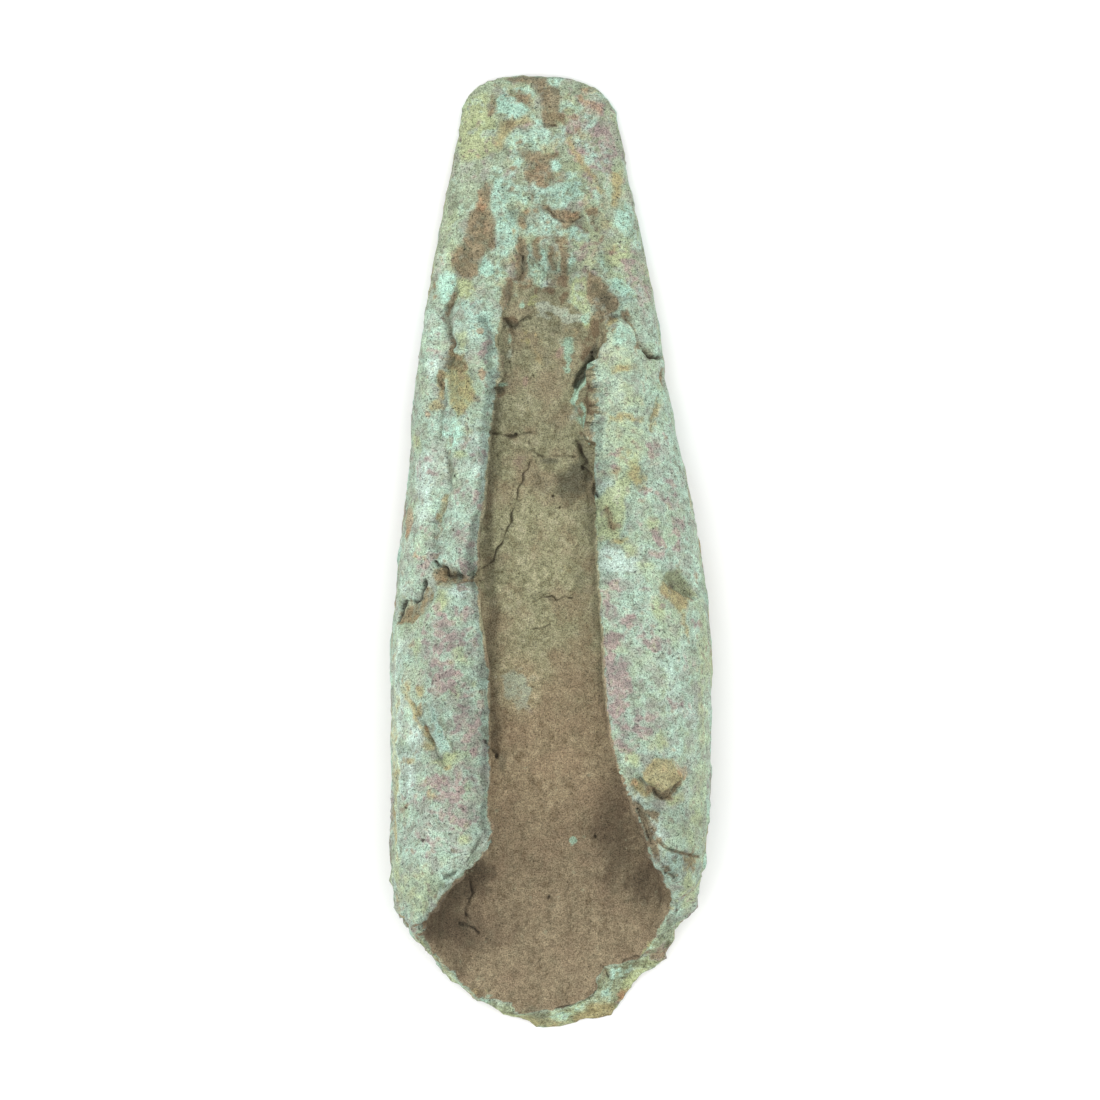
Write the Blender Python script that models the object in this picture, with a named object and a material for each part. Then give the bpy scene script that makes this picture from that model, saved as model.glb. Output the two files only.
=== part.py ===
"""A socketed chisel of copper alloy, forged from one thick blank.

The blank's narrow end is left solid as the blade. Towards the wide end its two sides
are folded up and over into wings, so that they and the back make a tapering socket
with an open slot along its top. The chisel lies on its back, blade towards +Y, with
its origin on the ground under the middle of its box.

Places on the chisel are given as (across, along). Along runs from 0 at the cutting
edge to 1 at the tip of the mouth. Across runs from -1 at the left side to 1 at the
right side. Girth runs round the folded sheet, from 0 at the left wing's edge, round
the back, to 1 at the right wing's edge.
"""

import math

import bmesh
import bpy
import numpy as np

# Driving dimensions, in metres. The socket: its outside, its wall at the sides, at the
# floor under its mouth and at the wings' edges, and the slot between those edges
LENGTH = 0.140
SOCKET_WIDTH = 0.0475
SOCKET_HEIGHT = 0.0320
WALL = 0.0040
FLOOR = 0.0046
LIP_THICKNESS = 0.0027
SLOT_WIDTH = 0.0168
SLOT_OFFSET = -0.0009

# The blade: its width, how far it leans sideways, and its thickness where the socket
# begins and at the cutting edge
BLADE_WIDTH = 0.0228
BLADE_OFFSET = -0.0019
NECK_THICKNESS = 0.0108
EDGE_THICKNESS = 0.0022

# The cutting edge: its lift off the ground, its straight part, how much further back its
# right end lies, and the length of its rounded corners
EDGE_LIFT = 0.0008
EDGE_FLAT = 0.0054
EDGE_SKEW = 0.0010
CORNER_LENGTH = 0.0064

# How far the round back is worn flat where the chisel lies on it
BACK_WEAR = 0.0005

# How squarely the rounded sections fill their boxes: 2 is an ellipse
OUTER_SQUARENESS = 2.4
INNER_SQUARENESS = 2.3
BLADE_SQUARENESS = 3.4

# The wings' edges keep within the first share of the half width, so that they don't pass
# the blade's corners. A path round a section starts within the second
LIP_REACH = 0.90
PATH_REACH = 0.98

# Columns round the blank, and the girth where each band of columns ends
WING_COLUMNS = 10
SIDE_COLUMNS = 5
BACK_COLUMNS = 10
WING_GIRTH = 0.155
SIDE_GIRTH = 0.29
ARC_STEPS = 200
WELD = 1e-6

# The sheet's squares are halved where its relief is at least the first height, and then
# once more where it is at least the second
FINE_RELIEF = (0.0002, 0.0006)

# The relief fades out over this share of the height, above the widest part of the sides
RELIEF_FADE = 0.25

# Rows along the blank. They run straight across it, except that the last ones spread
# from the end of the straight rows to the torn mouth
TIP_ROWS = 6
STRAIGHT_ROWS = 24
MOUTH_ROWS = 14
TIP_END = 0.05
STRAIGHT_END = 0.60


def curve_through(*points):
    """A smooth curve through the points, which stays between each pair of them."""
    places, values = np.array(points).T
    slopes = np.diff(values) / np.diff(places)
    tangents = np.concatenate([slopes[:1], np.zeros(len(slopes) - 1), slopes[-1:]])
    for i, (before, after) in enumerate(zip(slopes[:-1], slopes[1:]), start=1):
        if before * after > 0:
            tangents[i] = 2 * before * after / (before + after)

    def at(place):
        place = min(max(place, places[0]), places[-1])
        i = min(int(np.searchsorted(places, place, "right")) - 1, len(slopes) - 1)
        step = places[i + 1] - places[i]
        t = (place - places[i]) / step
        return (
            values[i] * (1 + 2 * t) * (1 - t) ** 2
            + values[i + 1] * t * t * (3 - 2 * t)
            + step * t * (1 - t) * (tangents[i] * (1 - t) - tangents[i + 1] * t)
        )

    return at


def mix(start, end, share):
    return start + (end - start) * share


# Profiles along the chisel
flare = curve_through(
    (0.0, 0.0), (0.043, 0.0), (0.137, 0.21), (0.242, 0.435), (0.4, 0.70), (0.505, 0.87),
    (0.61, 0.985), (0.66, 1.0), (0.76, 0.98), (0.82, 0.95), (0.872, 0.88), (1.0, 0.80),
)
sideways = curve_through(
    (0.0, 1.0), (0.20, 0.83), (0.36, 0.68), (0.45, 0.16), (0.56, 0.0), (0.74, 0.0),
    (0.82, 0.28), (0.90, 0.48), (1.0, 0.30),
)
rise = curve_through(
    (0.0, 0.0), (0.15, 0.0), (0.20, 0.035), (0.24, 0.12), (0.29, 0.27), (0.345, 0.41),
    (0.45, 0.62), (0.55, 0.79), (0.66, 0.91), (0.76, 0.975), (0.90, 1.0), (1.0, 1.0),
)
taper = curve_through((0.0, 0.0), (0.08, 0.47), (0.13, 0.74), (0.19, 1.0), (1.0, 1.0))
floor_rise = curve_through(
    (0.0, 1.0), (0.19, 1.0), (0.26, 0.74), (0.345, 0.47), (0.47, 0.20), (0.66, 0.04), (0.8, 0.0)
)
left_lip = curve_through(
    (0.0, 0.60), (0.15, 0.66), (0.225, 0.74), (0.32, 0.84), (0.40, 0.97), (0.50, 1.08),
    (0.555, 1.13), (0.60, 1.06), (0.65, 0.965), (0.76, 0.965), (0.80, 0.93),
)
right_lip = curve_through(
    (0.0, 0.80), (0.15, 0.90), (0.26, 1.04), (0.31, 0.91), (0.35, 0.90), (0.40, 0.83),
    (0.43, 0.825), (0.50, 0.90), (0.56, 0.97), (0.645, 1.05), (0.70, 1.17), (0.74, 1.34),
)

# How far the socket is sunk into the blade's upper face, at its middle and at its sides
middle_depth = curve_through((0.13, 0.0), (0.18, 0.25), (0.24, 0.75), (0.31, 1.0), (1.0, 1.0))
side_depth = curve_through((0.18, 0.0), (0.23, 0.16), (0.28, 0.42), (0.36, 0.76), (0.47, 1.0))

# The torn mouth, by girth: where the outside of the sheet ends, and where its inside does
mouth_outside = curve_through(
    (0.0, 0.788), (0.03, 0.82), (0.06, 0.848), (0.10, 0.884), (0.135, 0.895),
    (0.18, 0.885), (0.24, 0.873), (0.28, 0.888), (0.33, 0.912), (0.36, 0.937), (0.415, 0.972),
    (0.46, 0.988), (0.50, 1.0), (0.56, 0.997), (0.60, 0.988), (0.635, 0.966),
    (0.66, 0.947), (0.70, 0.926), (0.72, 0.898), (0.77, 0.876), (0.82, 0.85),
    (0.88, 0.85), (0.93, 0.84), (0.97, 0.80), (1.0, 0.728),
)
mouth_inside = curve_through(
    (0.0, 0.80), (0.02, 0.822), (0.075, 0.847), (0.115, 0.866), (0.16, 0.886),
    (0.22, 0.902), (0.265, 0.914), (0.33, 0.939), (0.36, 0.957), (0.39, 0.97),
    (0.49, 0.986), (0.55, 0.978), (0.60, 0.967), (0.635, 0.943), (0.71, 0.927),
    (0.75, 0.903), (0.80, 0.88), (0.89, 0.853), (0.935, 0.826), (0.965, 0.79),
    (1.0, 0.734),
)

# Grooves and breaks in the outer surface, each with its route, half width and depth
LEFT_SEAM = (
    (-0.80, 0.225), (-0.81, 0.28), (-0.765, 0.313), (-0.77, 0.36), (-0.72, 0.426),
    (-0.73, 0.48), (-0.715, 0.516),
)
LEFT_BREAK = ((-0.72, 0.517), (-0.61, 0.522), (-0.42, 0.528))
LEFT_SPLIT = ((-0.715, 0.516), (-0.78, 0.531), (-0.89, 0.55), (-1.0, 0.567))
LEFT_FOLD = ((-0.85, 0.615), (-0.80, 0.646), (-0.76, 0.678), (-0.71, 0.715), (-0.68, 0.75))
RIGHT_HEAD = (
    (0.55, 0.275), (0.59, 0.260), (0.67, 0.252), (0.79, 0.262), (0.85, 0.278),
    (0.90, 0.293), (1.0, 0.298),
)
RIGHT_CRACK = ((0.50, 0.739), (0.58, 0.751), (0.66, 0.756), (0.77, 0.744))
GROOVES = (
    (LEFT_SEAM, 0.0013, 0.0010),
    (LEFT_BREAK, 0.0015, 0.0017),
    (LEFT_SPLIT, 0.0014, 0.0014),
    (LEFT_FOLD, 0.0012, 0.0007),
    (RIGHT_HEAD, 0.0013, 0.0010),
    (RIGHT_CRACK, 0.0012, 0.0012),
)

# Dents and swellings of the outer surface: place, radius and height
SWELLINGS = (
    ((0.84, 0.534), 0.0022, -0.0012),
    ((0.52, 0.222), 0.0024, -0.0010),
    ((0.63, 0.724), 0.0030, 0.0008),
    ((0.66, 0.30), 0.0035, 0.0008),
)


def half_width(along):
    """Half the chisel's width, drawn in by the rounded corners of its cutting edge."""
    half = mix(BLADE_WIDTH, SOCKET_WIDTH, flare(along)) / 2
    short = 1 - along * LENGTH / CORNER_LENGTH
    if short <= 0:
        return half
    return mix(EDGE_FLAT / 2, half, math.sqrt(1 - short**2))


def centre(along):
    return BLADE_OFFSET * sideways(along)


def underside(along):
    """The back is flat, and rises a little towards the cutting edge."""
    return EDGE_LIFT * (1 - taper(along))


def crest(along):
    """The height of the blade's upper face, and then of the wings."""
    blade = EDGE_LIFT + EDGE_THICKNESS
    neck = mix(blade, NECK_THICKNESS, taper(along))
    return neck + (SOCKET_HEIGHT - NECK_THICKNESS) * rise(along)


def floor_height(along):
    return mix(FLOOR, NECK_THICKNESS, floor_rise(along))


def lips(along):
    """Where the left and right wings' edges lie, across the chisel."""
    reach = LIP_REACH * half_width(along)
    left = SLOT_OFFSET - SLOT_WIDTH / 2 * left_lip(along)
    right = SLOT_OFFSET + SLOT_WIDTH / 2 * right_lip(along)
    return max(left, centre(along) - reach), min(right, centre(along) + reach)


def squareness(along):
    return mix(BLADE_SQUARENESS, OUTER_SQUARENESS, min(along / 0.3, 1.0))


def angle_above(share, power):
    """The angle at which a rounded box's top passes over this share of its half width."""
    share = min(max(share, -PATH_REACH), PATH_REACH)
    return math.acos(math.copysign(abs(share) ** (power / 2), share))


def rounded_box(middle_x, half, low, high, power, left, right):
    """Points round a rounded box, from `left` on its top, round its bottom, to `right`."""
    start = angle_above((left - middle_x) / half, power)
    end = angle_above((right - middle_x) / half, power)
    angles = np.linspace(start, 2 * math.pi + end, ARC_STEPS)
    cosines, sines = np.cos(angles), np.sin(angles)
    x = middle_x + half * np.sign(cosines) * np.abs(cosines) ** (2 / power)
    z = (low + high) / 2 + (high - low) / 2 * np.sign(sines) * np.abs(sines) ** (2 / power)
    return np.column_stack([x, z])


def point_at(path, share):
    """The point of a path at that share of its length."""
    lengths = np.concatenate([[0.0], np.cumsum(np.hypot(*np.diff(path, axis=0).T))])
    wanted = share * lengths[-1]
    return np.array([np.interp(wanted, lengths, path[:, 0]), np.interp(wanted, lengths, path[:, 1])])


def outer_path(along):
    left, right = lips(along)
    low = underside(along)
    path = rounded_box(
        centre(along), half_width(along), low - BACK_WEAR, crest(along),
        squareness(along), left, right,
    )
    path[:, 1] = np.maximum(path[:, 1], low)
    return path


def inner_path(along):
    left, right = lips(along)
    return rounded_box(
        centre(along), half_width(along) - WALL, floor_height(along),
        crest(along) - LIP_THICKNESS, INNER_SQUARENESS, left, right,
    )


def upper_face(girth, along):
    """A point of the blade's upper face, which spans the gap between the wings' edges."""
    x = mix(*lips(along), girth)
    low, high = underside(along) - BACK_WEAR, crest(along)
    power = squareness(along)
    bulge = 1 - (abs(x - centre(along)) / half_width(along)) ** power
    return x, (low + high) / 2 + (high - low) / 2 * bulge ** (1 / power)


def depth_share(girth, along):
    """How far the socket is sunk below the upper face: 0 on the blade, 1 in the socket."""
    return mix(side_depth(along), middle_depth(along), math.sin(math.pi * girth))


def plain_point(girth, along, inside):
    """Where a place of the sheet lies, before its relief."""
    if not inside:
        return point_at(outer_path(along), girth)
    x, z = upper_face(girth, along)
    share = depth_share(girth, along)
    if share == 0:
        return x, z
    socket_x, socket_z = point_at(inner_path(along), girth)
    return mix(x, socket_x, share**2), mix(z, socket_z, share)


def distance_to_route(route, x, along, half):
    """The distance in metres from a place to a route of (across, along) points."""
    here = np.array([x, along * LENGTH])
    spots = [np.array([centre(a) + c * half, a * LENGTH]) for c, a in route]
    best = math.inf
    for start, end in zip(spots[:-1], spots[1:]):
        run = end - start
        share = min(max(float((here - start) @ run / (run @ run)), 0.0), 1.0)
        best = min(best, float(np.linalg.norm(here - start - run * share)))
    return best


def relief(x, along):
    """How far the upper surface stands above its plain form. Grooves that meet don't add."""
    half = half_width(along)
    cut = 0.0
    for route, reach, depth in GROOVES:
        away = distance_to_route(route, x, along, half)
        cut = max(cut, depth * math.exp(-((away / reach) ** 2)))
    swollen = 0.0
    for (across, where), radius, height in SWELLINGS:
        away = math.hypot(x - centre(where) - across * half, (along - where) * LENGTH)
        swollen += height * math.exp(-((away / radius) ** 2))
    return swollen - cut


def relief_at(girth, along, inside):
    """The relief of a place of the sheet. It fades down the sides and into the socket."""
    if inside:
        x, _ = upper_face(girth, along)
        return relief(x, along) * (1 - depth_share(girth, along))
    x, z = plain_point(girth, along, inside)
    side_height = (z - underside(along)) / (crest(along) - underside(along))
    return relief(x, along) * min(max((side_height - 0.5) / RELIEF_FADE, 0.0), 1.0)


def columns():
    """The girth of each column of the blank, closer together on the wings."""
    wing = np.linspace(0, WING_GIRTH, WING_COLUMNS + 1)
    side = np.linspace(WING_GIRTH, SIDE_GIRTH, SIDE_COLUMNS + 1)[1:]
    back = np.linspace(SIDE_GIRTH, 0.5, BACK_COLUMNS // 2 + 1)[1:]
    left = np.concatenate([wing, side, back])
    return np.concatenate([left, 1 - left[-2::-1]])


def rows():
    """Where the rows lie along the blank. The mouth is one further than the last straight row."""
    tip = TIP_END * (1 - np.cos(np.linspace(0, math.pi / 2, TIP_ROWS + 1)))
    straight = np.linspace(TIP_END, STRAIGHT_END, STRAIGHT_ROWS + 1)[1:]
    mouth = STRAIGHT_END + np.linspace(0, 1, MOUTH_ROWS + 1)[1:]
    return np.concatenate([tip, straight, mouth])


def station(girth, row, inside):
    """How far along the chisel a place of the blank comes to lie."""
    if row <= STRAIGHT_END:
        return row
    end = mouth_inside(girth) if inside else mouth_outside(girth)
    return mix(STRAIGHT_END, end, row - STRAIGHT_END)


def make_blank(mesh):
    """A flat sheet whose places are (girth, row), with its inner side raised by one."""
    girths, stations = columns(), rows()
    across, down = len(girths) - 1, len(stations) - 1
    bmesh.ops.create_grid(mesh, x_segments=across, y_segments=down, size=0.5)
    for vertex in mesh.verts:
        vertex.co.x = girths[round((vertex.co.x + 0.5) * across)]
        vertex.co.y = stations[round((vertex.co.y + 0.5) * down)]
    raised = bmesh.ops.extrude_face_region(mesh, geom=mesh.faces[:])
    inner = [part for part in raised["geom"] if isinstance(part, bmesh.types.BMVert)]
    bmesh.ops.translate(mesh, vec=(0.0, 0.0, 1.0), verts=inner)


def refine(mesh, least):
    """Halves the blank's squares wherever their relief is at least this much."""
    touched = set()
    for vertex in mesh.verts:
        girth, row, height = vertex.co
        inside = height > 0.5
        if abs(relief_at(girth, station(girth, row, inside), inside)) > least:
            touched.add(vertex)
    edges = [edge for edge in mesh.edges if touched.intersection(edge.verts)]
    within = [edge for edge in edges if edge.verts[0].co.z == edge.verts[1].co.z]
    bmesh.ops.subdivide_edges(mesh, edges=within, cuts=1, use_grid_fill=True)


def fold(mesh):
    """Carries each place of the blank to where the forging leaves it."""
    for vertex in mesh.verts:
        girth, row, height = vertex.co
        inside = height > 0.5
        along = station(girth, row, inside)
        x, z = plain_point(girth, along, inside)
        skew = EDGE_SKEW * (x - centre(0)) / BLADE_WIDTH * max(1 - along / TIP_END, 0)
        vertex.co = (x, -along * LENGTH - skew, z + relief_at(girth, along, inside))


def stand_on_origin(mesh):
    """Brings the middle of the box's base to the origin."""
    spots = np.array([vertex.co for vertex in mesh.verts])
    low, high = spots.min(axis=0), spots.max(axis=0)
    middle = (low + high) / 2
    bmesh.ops.translate(mesh, vec=(-middle[0], -middle[1], -low[2]), verts=mesh.verts)


def patina():
    """Corroded copper alloy: pale green, dull and barely metallic."""
    material = bpy.data.materials.new("patinated_bronze")
    material.use_nodes = True
    shader = material.node_tree.nodes["Principled BSDF"]
    shader.inputs["Base Color"].default_value = (0.34, 0.41, 0.32, 1.0)
    shader.inputs["Roughness"].default_value = 0.85
    shader.inputs["Metallic"].default_value = 0.1
    return material


def make_chisel():
    mesh = bmesh.new()
    make_blank(mesh)
    for least in FINE_RELIEF:
        refine(mesh, least)
    fold(mesh)
    bmesh.ops.remove_doubles(mesh, verts=mesh.verts, dist=WELD)
    bmesh.ops.recalc_face_normals(mesh, faces=mesh.faces)
    stand_on_origin(mesh)
    data = bpy.data.meshes.new("chisel")
    mesh.to_mesh(data)
    mesh.free()
    data.materials.append(patina())
    data.shade_smooth()
    data.set_sharp_from_angle(angle=math.radians(40))
    chisel = bpy.data.objects.new("chisel", data)
    bpy.context.scene.collection.objects.link(chisel)


def main():
    for leftover in list(bpy.data.objects):
        bpy.data.objects.remove(leftover, do_unlink=True)
    make_chisel()


main()
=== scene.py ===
"""An ancient socketed chisel of copper alloy, lying on its back and seen from above.

The forging is taken as it was packed. It is cut into fine even squares, and then worked
over as corrosion has left it: seams, cracks, pits, lifted flakes, and crusts of blue-green,
yellow-green, brown and ochre, with earth packed hard in the socket.

The work is done in millimetres, seen from above, with the blade towards +y. Sizes, heights
and depths are millimetres, unless their comment says otherwise. Routes, outlines and places
are given in the photograph's pixels, and on_chisel turns them into millimetres.
"""

import math

import bmesh
import bpy
import numpy as np
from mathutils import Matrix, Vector, noise
from mathutils.bvhtree import BVHTree


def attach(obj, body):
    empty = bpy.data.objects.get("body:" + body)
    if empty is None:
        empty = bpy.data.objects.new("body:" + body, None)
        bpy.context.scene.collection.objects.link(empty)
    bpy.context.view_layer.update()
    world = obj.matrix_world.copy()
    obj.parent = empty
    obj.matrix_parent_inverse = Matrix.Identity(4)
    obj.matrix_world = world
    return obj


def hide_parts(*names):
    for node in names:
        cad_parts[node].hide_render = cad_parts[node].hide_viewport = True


MM = 0.001

# The squares that the forging is cut into. Those in sight are halved once, those this close
# to a crack, a pit or the edge of a flake again, and those at a crack or a pit a last time
SQUARE = 0.92
CRACK_ROOM = 0.8
FLAKE_ROOM = 0.5
LAST_ROOM = 0.35
SMOOTHING = 4

# The share of a layer, or of what is in sight, from which a point belongs to it
LAYER_SHARE = 0.3

# The share of the way that smoothed points are put back towards the forging's own surface
HOLD = 0.85

# The middle of the socket, across the chisel, and half the width of the slot
SOCKET_MIDDLE = -0.9
SLOT_HALF = 8.4

# The middle of the round end at the mouth, along the chisel, and where the wings begin to
# end and have ended
MOUTH_MIDDLE = -45.0
OPEN_START = -38.0
OPEN_FULL = -46.0

# The number of slices along the chisel in which the height of its wings is read
CREST_STEPS = 56

# The height of the socket's floor along the chisel: (y, z)
FLOOR_LINE = ((-70, 4.6), (-42, 4.6), (-22, 4.9), (4, 5.8), (22, 7.5), (33.5, 9.2), (43, 10.8))

# Where the socket begins to sink into the blade, and where it is fully below the wings
SOCKET_START = 38.5
SOCKET_FULL = 33.0

# Where a stain starts to fade and where it ends, in shares of its half width, the half width
# from which its edge wanders in full, and half the width of a patch's border
STAIN_CORE = 0.3
STAIN_EDGE = 1.7
FULL_WANDER = 1.6
PATCH_EDGE = 0.7

# The chisel's length, in millimetres and in pixels of the photograph, and the pixel at its
# origin. The routes, outlines and places below are in these pixels, with y running down,
# and so are the sizes of stains and streaks
LENGTH = 140
PIXELS_LONG = 953
PIXEL = LENGTH / PIXELS_LONG
MIDDLE = (551, 550.5)

# Cracks and torn seams of the blade and the wings
SEAM_TOP = ((456, 294), (449, 304), (447, 318), (449, 330), (453, 343), (451, 356), (447, 368))
SEAM_EDGE = ((443, 372), (441, 382), (444, 392), (446, 404), (443, 416), (442, 430), (441, 440))
SEAM_LOW = (
    (447, 454), (450, 466), (450, 480), (447, 492), (444, 504), (440, 520), (437, 545), (437, 558),
)
LEFT_BREAK = (
    (436, 562), (441, 566), (448, 569), (456, 572), (465, 575), (472, 577), (477, 575), (482, 570),
)
LEFT_SPLIT = (
    (427, 582), (423, 590), (420, 597), (414, 601), (408, 600), (404, 603), (400, 611), (396, 621),
)
LEFT_FOLD = ((411, 702), (420, 716), (429, 732), (436, 745), (441, 757), (442, 768), (446, 776))
LEFT_RIDGE = ((428, 702), (436, 715), (443, 730), (449, 739), (456, 749))
LEFT_NICK = ((482, 734), (487, 739), (491, 741))
THUMB_TOP = ((600, 333), (603, 325), (609, 319), (617, 315), (623, 314))
THUMB_SIDE = ((623, 313), (629, 322), (634, 333), (637, 343), (644, 350))
THUMB_GAP = ((645, 351), (650, 356), (655, 357), (662, 357))
RIGHT_GASH = ((657, 399), (654, 409), (651, 419), (651, 430))
RIGHT_SLIT = ((593, 484), (594, 492), (596, 498))
DENT_EDGE = ((663, 572), (668, 577), (675, 588), (684, 594), (693, 597))
BLISTER_GAP = ((638, 777), (646, 785), (655, 789), (662, 795), (668, 792), (676, 785), (684, 776))
END_LAYER = ((645, 812), (649, 824), (655, 836), (664, 845), (675, 849), (686, 852), (698, 855))
END_FLAKE = ((651, 856), (656, 862), (661, 869), (668, 871), (675, 873))
END_TAIL = ((660, 878), (664, 886), (670, 893), (675, 903), (676, 912))
LEFT_TEAR = ((478, 836), (474, 846), (470, 856), (458, 866), (447, 874))
BLADE_SLOT = ((519, 240), (521, 252), (524, 265), (521, 278))
BLADE_HOLE = ((523, 257), (524, 265), (522, 273))
BLADE_NOTCH = ((541, 122), (548, 125), (555, 124))
BLADE_SPIKE = ((534, 240), (537, 252), (536, 264))
BLADE_TINE = ((551, 247), (551, 258), (554, 270))
BLADE_PRONG = ((566, 247), (565, 258), (564, 270))
END_LIP = ((640, 806), (645, 822), (650, 838), (655, 855))
BLADE_FORK = ((545, 208), (553, 215), (562, 221), (572, 222), (580, 216))

# Each one's route, half its width, its depth and its darkness
OUTER_CRACKS = (
    (SEAM_TOP, 0.5, 0.35, 0.3), (SEAM_EDGE, 0.35, 0.30, 0.25), (SEAM_LOW, 0.6, 0.22, 0.05),
    (LEFT_BREAK, 0.35, 0.6, 0.95), (LEFT_SPLIT, 0.30, 0.6, 1.1), (LEFT_FOLD, 0.35, 0.35, 0.3),
    (LEFT_RIDGE, 0.25, 0.22, 0.2), (LEFT_NICK, 0.3, 0.4, 0.9), (THUMB_TOP, 0.35, 0.3, 0.3),
    (THUMB_SIDE, 0.35, 0.3, 0.2), (THUMB_GAP, 0.4, 0.6, 1.1), (RIGHT_GASH, 0.45, 0.3, 0.15),
    (RIGHT_SLIT, 0.22, 0.5, 1.2), (DENT_EDGE, 0.5, 0.2, 0.2), (BLISTER_GAP, 0.4, 0.35, 0.5),
    (END_LAYER, 0.2, 0.25, 0.2), (END_FLAKE, 0.24, 0.4, 0.6), (END_TAIL, 0.28, 0.35, 0.5),
    (END_LIP, 0.3, 0.3, 0.12), (BLADE_SPIKE, 0.6, 0.3, 0.0), (BLADE_TINE, 0.5, 0.25, 0.0),
    (BLADE_PRONG, 0.5, 0.25, 0.0),
    (LEFT_TEAR, 0.4, 0.3, 0.4), (BLADE_SLOT, 0.45, 0.4, 0.35), (BLADE_HOLE, 0.3, 0.6, 1.1),
    (BLADE_NOTCH, 0.3, 0.3, 0.35), (BLADE_FORK, 0.3, 0.3, 0.5),
)

# Cracks in the earth on the socket's floor
EARTH_UPPER = ((486, 434), (497, 435), (506, 433), (513, 436), (521, 434), (530, 430))
EARTH_MIDDLE = ((528, 442), (533, 449), (539, 455), (550, 457), (562, 456), (575, 457))
EARTH_LONG = (
    (531, 463), (524, 474), (519, 488), (517, 502), (511, 515), (508, 529), (503, 542), (496, 551),
    (491, 561), (484, 567), (478, 571),
)
EARTH_FORK = ((577, 438), (581, 452), (586, 463), (582, 468), (577, 462))
EARTH_TAIL = ((576, 460), (579, 469), (586, 467), (593, 476))
EARTH_LOWER = ((532, 601), (541, 598), (550, 596), (556, 600), (565, 597), (573, 598))
EARTH_BRANCH = ((548, 598), (554, 604))
EARTH_CRUMBS = ((537, 473), (541, 481), (534, 486), (530, 493))
EARTH_FAINT = ((531, 629), (540, 628), (550, 626))
EARTH_LIP = ((487, 739), (490, 748), (498, 757))
RIM_LINE = ((556, 1008), (568, 1006), (580, 1003), (591, 998), (596, 990))
RIM_SPUR = ((601, 966), (606, 972), (609, 977))
RIM_UPPER = ((623, 963), (632, 958), (641, 955), (649, 949), (651, 941))
CORNER_DOWN = ((468, 868), (470, 882), (471, 893), (468, 905), (467, 916))
CORNER_ACROSS = ((461, 922), (468, 925), (475, 928), (481, 934))
LEDGE_CRACK = ((503, 318), (508, 325), (513, 328), (520, 321), (528, 318))
LEDGE_SIDE = ((511, 328), (513, 340), (512, 352))
SOCKET_CRACKS = (
    (EARTH_UPPER, 0.25, 0.45, 0.9), (EARTH_MIDDLE, 0.22, 0.3, 0.6), (EARTH_LONG, 0.24, 0.45, 0.95),
    (EARTH_FORK, 0.32, 0.45, 0.8), (EARTH_TAIL, 0.26, 0.45, 0.9), (EARTH_LOWER, 0.22, 0.3, 0.85),
    (EARTH_BRANCH, 0.22, 0.25, 0.5), (EARTH_CRUMBS, 0.3, 0.3, 0.5), (EARTH_FAINT, 0.22, 0.2, 0.5),
    (EARTH_LIP, 0.3, 0.4, 0.6), (CORNER_DOWN, 0.28, 0.35, 0.6), (CORNER_ACROSS, 0.35, 0.45, 0.9),
    (LEDGE_CRACK, 0.28, 0.4, 0.5), (LEDGE_SIDE, 0.22, 0.25, 0.35), (RIGHT_SLIT, 0.25, 0.5, 1.2),
    (RIM_LINE, 0.24, 0.3, 0.8), (RIM_SPUR, 0.2, 0.2, 0.6), (RIM_UPPER, 0.22, 0.25, 0.6),
)

# Pits: place, radius and depth
OUTER_PITS = (
    (653, 357, 0.5, 0.6), (456, 529, 0.3, 0.3), (488, 738, 0.3, 0.5), (406, 806, 0.3, 0.15),
    (423, 838, 0.3, 0.15), (455, 477, 0.25, 0.25),
)
SOCKET_PITS = (
    (553, 497, 0.35, 0.8), (559, 507, 0.3, 0.7), (595, 838, 0.4, 0.8), (509, 361, 0.3, 0.6),
    (515, 435, 0.4, 0.5), (497, 757, 0.45, 0.6), (583, 468, 0.5, 0.6), (589, 368, 0.5, 0.7),
    (549, 900, 0.35, 0.3), (591, 354, 0.35, 0.6), (494, 390, 0.35, 0.5),
)

# Swollen ridges: route, half width and height
OUTER_RIDGES = (
    (((432, 310), (430, 350), (424, 420), (424, 500), (420, 560)), 1.2, 0.30),
    (((474, 310), (468, 400), (466, 470), (462, 550)), 1.4, 0.25),
    (((399, 640), (400, 700), (403, 760), (398, 830)), 1.0, 0.25),
    (((415, 670), (424, 700), (434, 727), (446, 752)), 0.7, 0.35),
    (((455, 640), (460, 690), (470, 720)), 2.2, 0.35),
    (((440, 780), (430, 840)), 2.4, 0.25),
    (((604, 345), (602, 430), (600, 500), (604, 600), (610, 690), (622, 750)), 0.8, 0.22),
    (((650, 620), (655, 690), (650, 730)), 2.6, 0.30),
    (((668, 420), (684, 500), (694, 560)), 1.4, 0.25),
    (((632, 770), (636, 790), (650, 800), (668, 803), (686, 790)), 0.6, 0.25),
    (((486, 842), (476, 862), (455, 875), (440, 890), (426, 908)), 0.5, 0.25),
)

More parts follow.
